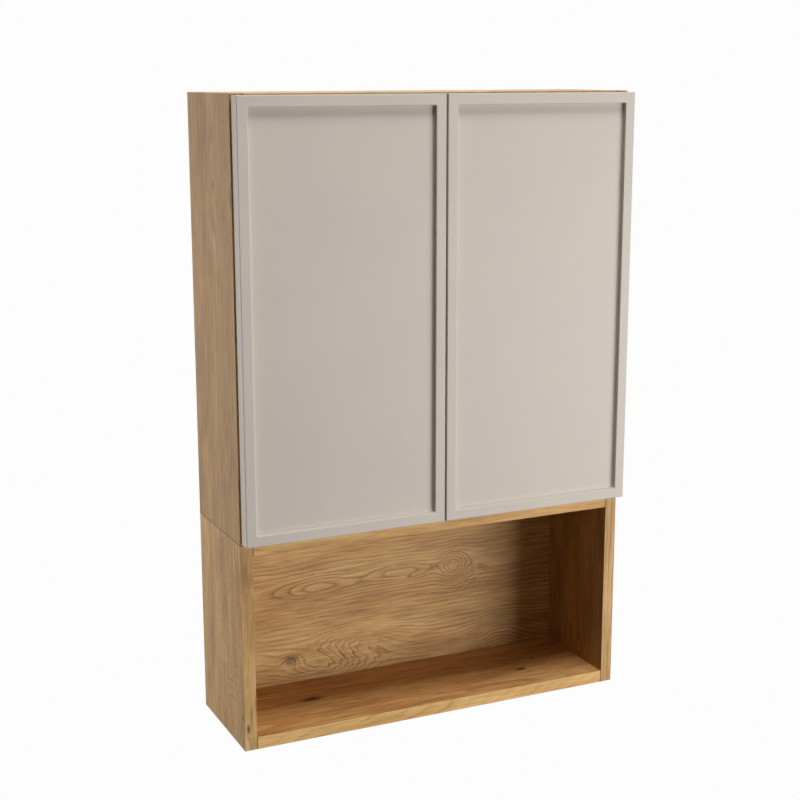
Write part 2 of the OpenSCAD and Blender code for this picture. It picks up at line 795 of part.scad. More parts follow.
// The arm: a channel over the mounting plate, and a flat nose that carries both links
module hinge_arm() {
    slot_end = slot_travel / 2 * [cos(slot_angle), sin(slot_angle)];
    slot_mid = slide_pin + slot_offset * [cos(slot_angle), sin(slot_angle)];
    slot_w = pin_d + 2 * slot_gap;
    difference() {
        union() {
            block([arm_web_x, arm_start, -arm_half_h], [arm_web_x + arm_t, arm_end, arm_half_h]);
            for (up = [0, 1]) mirror([0, 0, up])
                block([foot_x + foot_t + arm_gap, arm_start, arm_half_h - arm_t],
                      [arm_web_x + arm_t, arm_end, arm_half_h]);
            translate([0, 0, -nose_t / 2]) linear_extrude(nose_t) {
                intersection() {
                    path_2d([nose_root, outer_arm_pin, slide_pin], nose_w);
                    translate([arm_web_x, -arm_start]) square([cup_d, arm_len + arm_start]);
                }
                bar_2d(slot_mid - slot_end, slot_mid + slot_end, slot_w + 2 * slot_wall);
            }
        }
        rod_z([outer_arm_pin[0], outer_arm_pin[1], -nose_t], 2 * nose_t, pin_r + pin_gap);
        translate([0, 0, -nose_t]) linear_extrude(2 * nose_t)
            bar_2d(slot_mid - slot_end, slot_mid + slot_end, slot_w);
        for (y = [side_screw_y, clamp_screw_y])
            rod_x([arm_web_x - arm_t, y, 0], 3 * arm_t, arm_screw_d / 2 + hole_gap);
    }
}

module hinge_arms() { at_datum() color("Silver") both_sides() at_hinges() hinge_arm(); }

module hinge_arm_pins() {
    at_datum() color("DimGray") both_sides() at_hinges()
        rod_z([outer_arm_pin[0], outer_arm_pin[1], -arm_pin_half], 2 * arm_pin_half, pin_r);
}

// The mounting plate: a foot on the side, and the ridge that the arm clamps on
module mounting_plate() {
    difference() {
        union() {
            block([foot_x, line_setback - foot_w / 2, -foot_h / 2],
                  [foot_x + foot_t, line_setback + foot_w / 2, foot_h / 2]);
            block([foot_x, arm_start + arm_t, -ridge_w / 2], [ridge_x, arm_end, ridge_w / 2]);
        }
        for (z = [-1, 1])
            rod_x([foot_x - cut, line_setback, z * line_pitch / 2], foot_t + 2 * cut,
                  line_bore_d / 2);
        for (y = [side_screw_y, clamp_screw_y])
            rod_x([foot_x + foot_t, y, 0], ridge_top, arm_screw_d / 2 + hole_gap);
    }
}

module hinge_mounting_plates() {
    at_datum() color("Silver") both_sides() at_hinges() mounting_plate();
}

module hinge_plate_screws() {
    at_datum() color("Silver") both_sides() at_hinges() for (z = [-1, 1])
        translate([foot_x + foot_t, line_setback, z * line_pitch / 2]) rotate([0, 90, 0])
            screw(line_bore_d - 2 * hole_gap, line_bore_depth + foot_t - screw_tip_gap,
                  plate_head_d, plate_head_t);
}

module hinge_arm_screws() {
    at_datum() color("Silver") both_sides() at_hinges() for (y = [side_screw_y, clamp_screw_y])
        translate([arm_web_x + arm_t, y, 0]) rotate([0, 90, 0])
            screw(arm_screw_d, arm_t + arm_gap + ridge_top - foot_t - screw_tip_gap,
                  arm_head_d, arm_head_t);
}

// Latch flange middle along the depth of the unit
function latch_flange_y() = latch_rear_y - latch_flange_len / 2;

module latch_housing() {
    bore_len = latch_len - latch_rear_wall;
    difference() {
        union() {
            block([-latch_offset - latch_w / 2, latch_front_y, latch_z - latch_w / 2],
                  [-latch_offset + latch_w / 2, latch_rear_y, upper_ceiling_z]);
            block([-latch_offset - latch_flange_w / 2, latch_rear_y - latch_flange_len,
                   upper_ceiling_z - latch_flange_t],
                  [-latch_offset + latch_flange_w / 2, latch_rear_y, upper_ceiling_z]);
        }
        rod_y([-latch_offset, latch_front_y - cut, latch_z], bore_len + cut, plunger_bore_r);
        for (x = [-latch_screw_x, latch_screw_x])
            rod_z([-latch_offset + x, latch_flange_y(), upper_ceiling_z - latch_flange_t - cut],
                  latch_flange_t + 2 * cut, small_screw_d / 2 + hole_gap);
    }
}

module latch_housings() { at_datum() color("WhiteSmoke") both_sides() latch_housing(); }

module latch_screws() {
    at_datum() color("Silver") both_sides() for (x = [-latch_screw_x, latch_screw_x])
        translate([-latch_offset + x, latch_flange_y(), upper_ceiling_z - latch_flange_t])
            rotate([180, 0, 0]) screw(small_screw_d, small_screw_len, small_head_d, latch_head_t);
}

module latch_plunger() {
    difference() {
        rod_y([-latch_offset, plunger_tip_y, latch_z], plunger_rear_y - plunger_tip_y, plunger_r);
        rod_y([-latch_offset, plunger_tip_y - cut, latch_z], magnet_t + cut, magnet_r + hole_gap);
    }
}

module left_latch_plunger() { at_datum() color("White") latch_plunger(); }
module right_latch_plunger() { at_datum() color("White") on_side(true) latch_plunger(); }

module latch_magnet() {
    rod_y([-latch_offset, plunger_tip_y, latch_z], magnet_t, magnet_r);
}

module left_latch_magnet() { at_datum() color("DimGray") latch_magnet(); }
module right_latch_magnet() { at_datum() color("DimGray") on_side(true) latch_magnet(); }

// The room that the pushing spring fills behind its plunger
module latch_spring() {
    difference() {
        rod_y([-latch_offset, plunger_rear_y, latch_z], spring_len, plunger_r - spring_gap);
        rod_y([-latch_offset, plunger_rear_y - cut, latch_z], spring_len + 2 * cut,
              plunger_r - spring_gap - spring_wall);
    }
}

module left_latch_spring() { at_datum() color("Gray") latch_spring(); }
module right_latch_spring() { at_datum() color("Gray") on_side(true) latch_spring(); }

module strike_plate() {
    rod_y([-latch_offset, door_back_y, latch_z], strike_t, strike_r);
}

module left_strike_plate() { at_datum() color("Silver") strike_plate(); }
module right_strike_plate() { at_datum() color("Silver") on_side(true) strike_plate(); }

// A hanger housing in the left corner, open towards the wall for its hook
module hanger_housing() {
    low_z = hanger_top_z - hanger_h;
    slot_w = hook_w + 1;
    difference() {
        union() {
            block([-inner_half, hanger_front_y, low_z],
                  [-inner_half + hanger_w, thin_back_rear_y, hanger_top_z]);
            for (z = spigot_heights)
                rod_x([-inner_half - spigot_len, thin_back_front_y - hanger_d / 2, low_z + z],
                      spigot_len + cut, spigot_d / 2);
        }
        block([hanger_x - slot_w / 2, hook_front_y - 1, hook_z - hook_leg_len - hook_room],
              [hanger_x + slot_w / 2, thin_back_rear_y + cut, hook_z + hook_t + hook_room]);
        rod_y([hanger_x, hanger_front_y - cut, hook_z - hook_leg_len / 2], hanger_d,
              hanger_screw_d / 2 + hole_gap);
    }
}

module hanger_housings() { at_datum() color("Silver") both_sides() hanger_housing(); }

// A hook: a tooth behind the wall plate's lip, a bridge over it and a leg in the housing
module hanger_hook() {
    low_x = hanger_x - hook_w / 2;
    high_x = hanger_x + hook_w / 2;
    tooth_rear_y = tooth_front_y + hook_t;
    block([low_x, hook_front_y, hook_z], [high_x, tooth_rear_y, hook_z + hook_t]);
    block([low_x, tooth_front_y, hook_z - tooth_len], [high_x, tooth_rear_y, hook_z + cut]);
    block([low_x, hook_front_y, hook_z - hook_leg_len],
          [high_x, hook_front_y + hook_t, hook_z + cut]);
}

module hanger_hooks() { at_datum() color("Silver") both_sides() hanger_hook(); }

// The screw that lifts the hook, standing on the housing's floor
module hanger_height_screws() {
    floor_z = hook_z - hook_leg_len - hook_room;
    at_datum() color("DimGray") both_sides()
        rod_z([hanger_x, hook_front_y + hook_t + height_screw_setback, floor_z],
              hook_z - floor_z, hanger_screw_d / 2);
}

// The screw that draws the cabinet to the wall, pressing on the hook's leg
module hanger_depth_screws() {
    screw_z = hook_z - hook_leg_len / 2;
    screw_front_y = hanger_front_y + depth_screw_inset;
    at_datum() color("DimGray") both_sides() difference() {
        rod_y([hanger_x, screw_front_y, screw_z], hook_front_y - screw_front_y,
              hanger_screw_d / 2);
        translate([hanger_x, screw_front_y, screw_z]) rotate([90, 0, 0])
            cross_recess(0, depth_recess_w, depth_recess_depth);
    }
}

module hanger_cover_caps() {
    at_datum() color("WhiteSmoke") both_sides()
        block([-inner_half, hanger_front_y - cover_t, hanger_top_z - hanger_h],
              [-inner_half + hanger_w, hanger_front_y, hanger_top_z]);
}

// A wall plate: a flat sheet on the wall with a lip that stands off and up
module wall_plate() {
    low_x = wall_plate_x - wall_plate_w / 2;
    high_x = wall_plate_x + wall_plate_w / 2;
    difference() {
        union() {
            block([low_x, -wall_plate_t, wall_plate_top_z - wall_plate_h],
                  [high_x, 0, wall_plate_top_z]);
            block([low_x, -lip_off, wall_plate_top_z - wall_plate_t], [high_x, 0, wall_plate_top_z]);
            block([low_x, -lip_off, wall_plate_top_z - wall_plate_t],
                  [high_x, -lip_off + wall_plate_t, wall_plate_top_z + lip_h]);
        }
        for (x = [-1, 1])
            rod_y([wall_plate_x + x * wall_hole_span / 2, -wall_plate_t - cut, hang_z],
                  wall_plate_t + 2 * cut, wall_hole_d / 2);
    }
}

module wall_plates() { at_datum() color("Silver") both_sides() wall_plate(); }

upper_left_side();
upper_right_side();
upper_top_panel();
upper_bottom_panel();
upper_back_panel();
upper_edge_strips();
upper_dowels();
lower_left_side();
lower_right_side();
lower_top_panel();
lower_bottom_panel();
lower_back_panel();
lower_edge_strips();
lower_dowels();
connector_sleeves();
connector_bolts();
top_shelf();
bottom_shelf();
shelf_edge_strips();
shelf_supports();
left_door();
right_door();
left_hinge_cups();
right_hinge_cups();
left_cup_pins();
right_cup_pins();
left_cup_screws();
right_cup_screws();
left_outer_links();
right_outer_links();
left_inner_links();
right_inner_links();
left_slide_pins();
right_slide_pins();
hinge_arms();
hinge_arm_pins();
hinge_mounting_plates();
hinge_plate_screws();
hinge_arm_screws();
latch_housings();
latch_screws();
left_latch_plunger();
right_latch_plunger();
left_latch_magnet();
right_latch_magnet();
left_latch_spring();
right_latch_spring();
left_strike_plate();
right_strike_plate();
hanger_housings();
hanger_hooks();
hanger_height_screws();
hanger_depth_screws();
hanger_cover_caps();
wall_plates();
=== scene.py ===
"""Looks of a wall-hung bathroom cabinet: oak-decor boards, lacquered doors and their fittings."""

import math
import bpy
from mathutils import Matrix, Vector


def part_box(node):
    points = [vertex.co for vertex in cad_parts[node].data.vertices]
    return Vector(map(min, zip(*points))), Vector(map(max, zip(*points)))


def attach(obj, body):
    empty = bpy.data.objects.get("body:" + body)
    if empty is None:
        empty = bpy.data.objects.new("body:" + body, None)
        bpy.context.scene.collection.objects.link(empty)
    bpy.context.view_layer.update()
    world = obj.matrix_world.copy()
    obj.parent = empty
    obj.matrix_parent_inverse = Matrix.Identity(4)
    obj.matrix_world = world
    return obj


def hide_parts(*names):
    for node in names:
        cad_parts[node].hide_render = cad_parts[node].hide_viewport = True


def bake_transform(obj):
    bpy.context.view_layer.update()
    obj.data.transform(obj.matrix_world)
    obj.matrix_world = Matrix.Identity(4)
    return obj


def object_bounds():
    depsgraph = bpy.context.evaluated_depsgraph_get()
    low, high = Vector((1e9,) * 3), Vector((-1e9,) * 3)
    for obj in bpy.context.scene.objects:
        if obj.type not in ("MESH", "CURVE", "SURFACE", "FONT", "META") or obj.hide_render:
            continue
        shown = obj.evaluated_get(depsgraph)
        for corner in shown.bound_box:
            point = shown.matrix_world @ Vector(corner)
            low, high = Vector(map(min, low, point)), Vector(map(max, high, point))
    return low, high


bl_info = {
    "name": "Wall-hung Bathroom Cabinet",
    "version": (1, 0, 0),
    "blender": (4, 5, 0),
    "location": "3D View > Sidebar > Cabinet",
    "description": "Dresses the cabinet's boards, doors, hinges, latches and hangers",
    "category": "Object",
}

import bmesh
import bpy
from mathutils import Matrix, Vector

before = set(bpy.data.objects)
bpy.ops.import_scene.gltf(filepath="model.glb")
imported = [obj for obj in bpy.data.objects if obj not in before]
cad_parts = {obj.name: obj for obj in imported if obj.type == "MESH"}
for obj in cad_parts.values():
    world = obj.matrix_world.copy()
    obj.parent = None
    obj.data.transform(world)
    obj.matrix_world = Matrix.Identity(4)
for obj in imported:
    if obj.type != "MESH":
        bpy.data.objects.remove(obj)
CAD_BOX = [list(corner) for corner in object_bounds()]
MM = 0.001
SIDES = ("left", "right")
UP = Vector((0, 0, 1))

# Points closer than this are one: in a CAD mesh, and in a mesh from a node tree
CAD_MERGE, MADE_MERGE = 0.001 * MM, 0.002 * MM

# Faces that differ by less are one plane, and edges that turn by more get rounded
ONE_PLANE, SHARP_TURN = math.radians(0.3), math.radians(25)

# A door's raised border and milled field, and its outer corners and back edge
DOOR_BORDER, DOOR_FIELD_DEPTH, DOOR_FIELD_CORNER = 15 * MM, 6 * MM, 1.5 * MM
DOOR_OUTER_CORNER, DOOR_BACK_EDGE = 0.3 * MM, 0.4 * MM
BACK_STEPS, FRONT_STEPS, CORNER_STEPS = 3, 5, 6

# A hinge cup's bore in the door, and the pilot holes of its two screws
CUP_BORE_X, CUP_BORE_RADIUS, CUP_BORE_DEPTH = 275.5 * MM, 17.55 * MM, 11.6 * MM
CUP_HALF_HEIGHT = 29 * MM
PILOT_OFFSET, PILOT_RADIUS, PILOT_DEPTH = 24 * MM, 1.75 * MM, 10 * MM

# A shelf support's peg in the side, its head and the height of the flat that the shelf lies on
PEG_LENGTH, SUPPORT_HEAD_LENGTH, SUPPORT_FLAT_HEIGHT = 11 * MM, 8 * MM, 2.9 * MM

# The glue line between the two units, and the ends of the level edge strips
SEAM_HALF_WIDTH, STRIP_JOINT_HALF_WIDTH = 0.9 * MM, 1.4 * MM


# Sizes and colours that a user would change

def length(name, default, description):
    return bpy.props.FloatProperty(name=name, default=default, min=0.0, precision=5,
                                   unit="LENGTH", description=description)


def colour(name, default, description):
    return bpy.props.StringProperty(name=name, default=default, description=description)


def watts(name, default, description):
    return bpy.props.FloatProperty(name=name, default=default, min=0.0, unit="POWER",
                                   description=description)


class CabinetSizes(bpy.types.PropertyGroup):
    board_edge: length("Board edge radius", 0.5 * MM, "Rounding of the boards' edges")
    strip_edge: length("Edge strip radius", 0.4 * MM, "Rounding of the front edge strips")
    door_edge: length("Door edge radius", 1.2 * MM, "Rounding of a door's outer front edges")
    door_inner_edge: length("Border inner radius", 1.0 * MM,
                            "Rounding of the raised border's inner edge")
    door_field_fillet: length("Field fillet", 0.8 * MM, "Fillet where the field meets the border")
    fitting_edge: length("Fitting edge radius", 0.15 * MM, "Rounding of stamped steel parts")
    thread_pitch: length("Thread pitch", 1.2 * MM, "Pitch of the wood screws' threads")
    spring_turns: bpy.props.IntProperty(name="Spring turns", default=11, min=3,
                                        description="Turns of each latch spring")


class CabinetColours(bpy.types.PropertyGroup):
    oak_light: colour("Oak, light", "D6AF73", "Pale ground of the oak decor")
    oak_mid: colour("Oak, middle", "BE8E50", "Warm tone of the oak decor")
    oak_dark: colour("Oak, grain", "7E4D1E", "Grain lines of the oak decor")
    oak_knot: colour("Oak, knots", "3E2415", "Knots and cracks of the oak decor")
    lacquer: colour("Door lacquer", "CCC2B6", "Satin lacquer of the doors")


# Nodes

class Field:
    """An output of a node. Each plain sign between fields and numbers adds a math node."""

    def __init__(self, socket):
        self.socket = socket

    def __add__(self, other):
        return maths("ADD", self, other)

    def __radd__(self, other):
        return maths("ADD", other, self)

    def __sub__(self, other):
        return maths("SUBTRACT", self, other)

    def __rsub__(self, other):
        return maths("SUBTRACT", other, self)

    def __mul__(self, other):
        return maths("MULTIPLY", self, other)

    def __truediv__(self, other):
        return maths("DIVIDE", self, other)


def add(tree, kind, inputs=None, output=0, **settings):
    """Adds a node with its settings, sets or links its inputs, and returns one of its outputs as
    a field, or the whole node if output is None."""
    made = tree.nodes.new(kind)
    for key, value in settings.items():
        setattr(made, key, value)
    for key, value in (inputs or {}).items():
        if isinstance(value, Field):
            tree.links.new(value.socket, made.inputs[key])
        else:
            made.inputs[key].default_value = value
    return made if output is None else Field(made.outputs[output])


def tree_of(*values):
    """The tree of the first field among the values."""
    return next(value.socket.id_data for value in values if isinstance(value, Field))


def fields_of(node):
    return {socket.name: Field(socket) for socket in node.outputs}


def maths(operation, *values, clamp=False):
    return add(tree_of(*values), "ShaderNodeMath", dict(enumerate(values)),
               operation=operation, use_clamp=clamp)


def split(field):
    """The X, Y and Z of a vector field."""
    return list(fields_of(add(tree_of(field), "ShaderNodeSeparateXYZ", {"Vector": field},
                              None)).values())


def vector(x=0.0, y=0.0, z=0.0):
    return add(tree_of(x, y, z), "ShaderNodeCombineXYZ", {0: x, 1: y, 2: z})


def size_of(field):
    """The length of a vector field."""
    return add(tree_of(field), "ShaderNodeVectorMath", {0: field}, "Value", operation="LENGTH")


def ramp(fac, stops, interpolation="LINEAR"):
    made = add(tree_of(fac), "ShaderNodeValToRGB", {"Fac": fac}, None)
    made.color_ramp.interpolation = interpolation
    elements = made.color_ramp.elements
    while len(elements) < len(stops):
        elements.new(1.0)
    for element, (place, value) in zip(elements, stops):
        element.position = place
        element.color = value if isinstance(value, (list, tuple)) else (value, value, value, 1)
    return Field(made.outputs["Color"])


def blend_colours(fac, a, b, mode="MIX"):
    return add(tree_of(fac, a, b), "ShaderNodeMixRGB", {"Fac": fac, "Color1": a, "Color2": b},
               blend_type=mode)


def noise(spot, scale, detail=2.0, roughness=0.5, distortion=0.0):
    """Cloudy noise with features of 1/scale metres. A scale for each axis stretches them."""
    tree = tree_of(spot)
    if isinstance(scale, tuple):
        spot, scale = add(tree, "ShaderNodeMapping", {"Vector": spot, "Scale": scale}), 1.0
    return add(tree, "ShaderNodeTexNoise", {"Vector": spot, "Scale": scale, "Detail": detail,
                                            "Roughness": roughness, "Distortion": distortion})


def stretched_noise(board, along, across, *settings):
    """Noise whose features are 1/along metres long and 1/across metres wide."""
    return noise(board, (along, across, across), *settings)


def soft_noise(board, along, across, weight, *settings):
    """Stretched noise as a swing of about weight metres to either side of nothing."""
    return (stretched_noise(board, along, across, *settings) - 0.5) * weight


# Materials

def linear(text):
    """An sRGB hex value as linear RGBA."""
    parts = [int(text[i:i + 2], 16) / 255 for i in (0, 2, 4)]
    return [c / 12.92 if c <= 0.04045 else ((c + 0.055) / 1.055) ** 2.4 for c in parts] + [1.0]


def material(name):
    """A new material and its object coordinates."""
    made = bpy.data.materials.new(name)
    made.use_nodes = True
    made.node_tree.nodes.clear()
    return made, add(made.node_tree, "ShaderNodeTexCoord", output="Object")


def finished(made, tint, rough, height=None, strength=0.0, depth=0.0, **more):
    """Ends a material with its shader. Its bumps follow height, over a real depth."""
    tree = made.node_tree
    if height:
        more["Normal"] = add(tree, "ShaderNodeBump", {"Strength": strength, "Distance": depth,
                                                      "Height": height})
    shader = add(tree, "ShaderNodeBsdfPrincipled", {"Base Color": tint, "Roughness": rough, **more})
    add(tree, "ShaderNodeOutputMaterial", {"Surface": shader}, None)
    return made


def clouded(field, tone, low, high=1.0):
    """A tone that a field takes from low to high times its brightness."""
    return ramp(field, [(place, [min(c * share, 1) for c in tone[:3]] + [1])
                        for place, share in ((0.3, low), (0.7, high))])


def tinted(value):
    """A factor for oak tones: the darker, the redder."""
    return [value, value ** 1.3, value ** 1.7, 1.0]


# Depth of the pith under a board's face, width of a year ring, and spacing of the folds of curly
# grain along a board and across it
PITH_DEPTH = 22 * MM
RING_WIDTH = 6.4 * MM
FOLD_ALONG, FOLD_ACROSS = 18 * MM, 13 * MM


def oak_figure_group():
    """The oak decor as a node group: colour, roughness and height from a point on the board,
    whose X runs along the grain, Y across it on the face and Z into the board."""
    shades = bpy.context.scene.cabinet_colours
    light, mid, dark, knot = (linear(getattr(shades, "oak_" + tone))
                              for tone in ("light", "mid", "dark", "knot"))
    tree = bpy.data.node_groups.new("oak_decor_figure", "ShaderNodeTree")
    for way, names in (("INPUT", ("Board", "Arch", "Wander", "Rise", "Curl", "Bold", "Knots",
                                  "Grain", "Contrast", "Shade")),
                       ("OUTPUT", ("Colour", "Roughness", "Height"))):
        for name in names:
            kind = {"Board": "Vector", "Shade": "Vector", "Colour": "Color"}.get(name, "Float")
            tree.interface.new_socket(name, in_out=way, socket_type="NodeSocket" + kind)
    source = fields_of(add(tree, "NodeGroupInput", output=None))
    board = source["Board"]

    # Distance from the pith: it wanders along the board, which bends the rings into arches, and
    # the figures raise or lower it into eyes and loops
    x, y, z = split(board)
    distance = maths("SQRT", maths("POWER", y, 2.0) + maths("POWER", z + PITH_DEPTH, 2.0))
    for more in (x * source["Arch"],
                 source["Wander"] * soft_noise(board, 2.2, 11.0, 1.0, 1.0, 0.4),
                 soft_noise(board, 11.0, 36.0, 0.010, 2.0, 0.45), source["Rise"]):
        distance = distance + more
    fold = x / FOLD_ALONG + y / FOLD_ACROSS + soft_noise(board, 14.0, 30.0, 1.6, 2.0, 0.4)
    distance = distance + maths("SINE", fold * (2 * math.pi)) * source["Curl"]
    rings = distance / RING_WIDTH
    phase = maths("FRACT", rings)
    line = ramp(phase, [(0.0, 1.0), (0.10, 0.85), (0.20, 0.3), (0.42, 0.0), (0.91, 0.0),
                        (0.96, 0.5), (1.0, 1.0)])
    warm = ramp(phase, [(0.0, 1.0), (0.45, 0.6), (0.8, 0.0), (0.95, 0.3), (1.0, 1.0)])
    bold = add(tree, "ShaderNodeTexWhiteNoise", {"W": maths("FLOOR", rings)},
               noise_dimensions="1D") * 0.6 + 0.4
    patchy = maths("ADD", ramp(stretched_noise(board, 6.0, 24.0), [(0.44, 0.05), (0.66, 0.75)]),
                   source["Bold"], clamp=True)
    bold = bold * patchy * source["Grain"]

    # Broad bands 60 mm and 25 mm wide, strokes 4 mm wide and fibres about 2 mm wide, which is as
    # fine as shows in the picture, and open pores up to 20 mm long
    tone = ramp(stretched_noise(board, 1.6, 17.0, 3.0), [(0.36, 0.0), (0.64, 1.0)])
    tone = tone * 0.6 + warm * source["Grain"] * 0.4
    bands = stretched_noise(board, 8.0, 42.0, 3.0, 0.55)
    strokes = stretched_noise(board, 15.0, 240.0, 3.0, 0.6)
    fibre = stretched_noise(board, 22.0, 620.0, 2.0, 0.6)
    pores = ramp(stretched_noise(board, 42.0, 760.0, 1.0, 0.5, 0.3), [(0.57, 0.0), (0.66, 1.0)])
    pores = pores * (line * 0.6 + 0.4)

    tint = blend_colours(tone, light, mid)
    for field, stops in ((bands, [(0.34, 0.79), (0.5, 1.0), (0.66, 1.14)]),
                         (strokes, [(0.30, 0.62), (0.42, 0.95), (0.58, 1.02), (0.68, 1.12)]),
                         (fibre, [(0.32, 0.66), (0.44, 0.96), (0.56, 1.02), (0.66, 1.16)])):
        factor = ramp(field, [(place, tinted(value)) for place, value in stops])
        tint = blend_colours(source["Contrast"], tint, factor, "MULTIPLY")
    tint = blend_colours(line * bold, tint, dark)
    tint = blend_colours(pores * 0.35, tint, dark)
    tint = blend_colours(source["Knots"], tint, knot)
    # The board's tint multiplies its colour: partly the board's own tone, and on some boards
    # painted shade or a painted sheen
    tint = blend_colours(1.0, tint, source["Shade"], "MULTIPLY")
    add(tree, "NodeGroupOutput", {"Colour": tint, "Height": strokes * 0.2 - pores,
                                  "Roughness": pores * 0.2 + (strokes * 0.16 + 0.48)}, None)
    return tree


# Which model axes run along the grain, across it on the face, and into the board
SIDE_GRAIN, LEVEL_GRAIN, BACK_GRAIN, UPRIGHT_EDGE = "ZYX", "XYZ", "XZY", "ZXY"


def bell_at(board, along, across, half_length, half_width):
    """A distance that is 1 at a figure's rim, and a bell that is 1 in its middle."""
    reach = size_of(add(tree_of(board), "ShaderNodeMapping", {
        "Vector": board, "Scale": (1 / half_length, 1 / half_width, 0),
        "Location": (-along / half_length, -across / half_width, 0)}))
    return reach, maths("EXPONENT", reach * reach * -1.0)


def oak_decor(name, axes, place, arch, wander=0.06, grain=1.0, contrast=1.0, tint_and_painted_light=(1, 1, 1),
              figures=(), curls=(), glue=()):
    """Chipboard with a printed, embossed natural-oak decor and a matt top coat: a warm, slightly
    uneven brown with arched grain, open pores and a few small knots. place is the board's own
    spot in the log. Each figure is (along, across, half length, half width, rise, knot): the
    rings close round it into an eye of that size, and knot is how dark its heart is. Each curl is
    (along, across, half length, half width, tilt along, tilt across, depth of its folds): the
    tilts turn the rings there. Each glue line is (axis, place, half width)."""
    made, spot = material(name)
    tree = made.node_tree
    group = bpy.data.node_groups.get("oak_decor_figure") or oak_figure_group()
    parts = dict(zip("XYZ", split(spot)))
    turned = vector(*(parts[axis] for axis in axes))
    board = add(tree, "ShaderNodeMapping", {"Vector": turned, "Location": place})
    ragged = stretched_noise(turned, 50.0, 120.0)
    hearts = rise = curl = bold = 0.0
    for along, across, half_length, half_width, lift, knot in figures:
        reach, bell = bell_at(turned, along, across, half_length, half_width)
        rise = rise + bell * lift
        bold = bold + bell
        if knot:
            reach = reach + (ragged - 0.5) * 0.6
            heart = ramp(reach, [(0.42, knot), (0.62, 0.5 * knot), (0.9, 0.2 * knot), (1.5, 0.0)])
            hearts = maths("MAXIMUM", hearts, heart)
    for along, across, half_length, half_width, tilt_along, tilt_across, fold in curls:
        reach, bell = bell_at(turned, along, across, half_length, half_width)
        for way, middle, tilt in ((0, along, tilt_along), (1, across, tilt_across)):
            rise = rise + (parts[axes[way]] - middle) * bell * tilt
        curl = curl + bell * fold
        bold = bold + bell
    for axis, middle, half_width in glue:
        away = maths("ABSOLUTE", parts[axis] - middle) / half_width
        hearts = maths("MAXIMUM", hearts, ramp(away, [(0.6, 0.9), (1.0, 0.0)]))
    # The tint is partly the board's own tone and partly painted light: painted shade on the sides
    # and level boards, a painted sheen on the top panel
    figure = fields_of(add(tree, "ShaderNodeGroup", {
        "Board": board, "Rise": rise, "Curl": curl, "Bold": bold, "Knots": hearts, "Arch": arch,
        "Wander": wander, "Grain": grain, "Contrast": contrast, "Shade": tint_and_painted_light}, None,
        node_tree=group))
    return finished(made, figure["Colour"], figure["Roughness"], figure["Height"], 0.3, 0.02 * MM,
                    IOR=1.44)


def satin_lacquer():
    """MDF sprayed with a warm beige satin lacquer: even colour, with a fine orange peel that
    softens its reflections."""
    made, spot = material("satin_lacquer_on_mdf")
    cloud = noise(spot, 9.0, 3.0)
    tint = clouded(cloud, linear(bpy.context.scene.cabinet_colours.lacquer), 0.975, 1.02)
    return finished(made, tint, cloud * 0.06 + 0.47, noise(spot, 620.0), 0.12, 0.04 * MM, IOR=1.43)


def plated_steel(name, hex_colour, roughness):
    """Stamped steel with a thin plated coat: bright, a little cloudy, with faint rolling marks."""
    made, spot = material(name)
    marks = noise(spot, (60.0, 60.0, 720.0), 4.0)
    tint = clouded(noise(spot, 160.0, 3.0), linear(hex_colour), 0.85)
    return finished(made, tint, marks * 0.16 + (roughness - 0.08), marks, 0.1, 0.03 * MM,
                    Metallic=1.0)


def moulded_plastic(name, hex_colour):
    """Injection-moulded acetal or ABS: an even, faintly grained matt skin."""
    made, spot = material(name)
    grain = noise(spot, 1400.0, 1.0)
    return finished(made, clouded(grain, linear(hex_colour), 0.96), 0.45, grain, 0.15, 0.03 * MM,
                    IOR=1.48)


def turned_beech(name):
    """Beech dowel rod: pale pinkish tan with short dark flecks along the rod."""
    made, spot = material(name)
    tones = [(0.35, linear("B98F63")), (0.6, linear("D9B78A"))]
    return finished(made, ramp(stretched_noise(spot, 90.0, 900.0), tones), 0.6)


# Slot: the material's name, its maker and the maker's other values
FINISHES = {"nickel_plated_steel": ("nickel_plated_steel", plated_steel, "AFABA4", 0.28),
            "zinc_plated_steel": ("zinc_plated_steel", plated_steel, "8C8F94", 0.38),
            "spring_steel": ("ground_pin_steel", plated_steel, "8C8D90", 0.24),
            "magnet_black": ("sintered_magnet", plated_steel, "3A3A3D", 0.5),
            "white_plastic": ("white_acetal", moulded_plastic, "E4E3DF"),
            "dowel_wood": ("turned_beech", turned_beech)}
NICKEL, ZINC, STEEL, MAGNET, PLASTIC, WOOD = FINISHES


def finish(slot):
    """The material of a slot, made on its first use."""
    name, maker, *values = FINISHES[slot]
    return bpy.data.materials.get(name) or maker(name, *values)


# Helpers that make meshes

def linked(name, data):
    made = bpy.data.objects.new(name, data)
    bpy.context.scene.collection.objects.link(made)
    return made


def new_piece(name, mesh, body, slot, *nodes):
    """Links a finished mesh as a piece, rides it on its body and hides the CAD nodes it stands
    for. A piece that bends between two bodies has None here and rides on no body."""
    piece = linked(name, mesh)
    if body:
        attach(piece, body)
    if nodes:
        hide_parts(*nodes)
    return piece


def opened(mesh, merge=None):
    """A bmesh of a mesh, in which points closer than merge become one."""
    bm = bmesh.new()
    bm.from_mesh(mesh)
    if merge:
        bmesh.ops.remove_doubles(bm, verts=bm.verts, dist=merge)
    return bm


def closed(bm, name, look=None):
    """A new mesh from a bmesh, which is freed."""
    mesh = bpy.data.meshes.new(name)
    bm.to_mesh(mesh)
    bm.free()
    if look:
        mesh.materials.append(look)
    return mesh


def evaluated(holder):
    """An object's mesh after its modifiers. The object is removed."""
    bpy.context.view_layer.update()
    made = bpy.data.meshes.new_from_object(
        holder.evaluated_get(bpy.context.evaluated_depsgraph_get()))
    bpy.data.objects.remove(holder)
    return made


def mark_sharp(bm, angle):
    """Marks the edges that stay sharp under smooth shading, those that turn by more degrees
    than angle. Flat faces stay flat."""
    for edge in bm.edges:
        edge.smooth = len(edge.link_faces) == 2 and edge.calc_face_angle(0) < math.radians(angle)


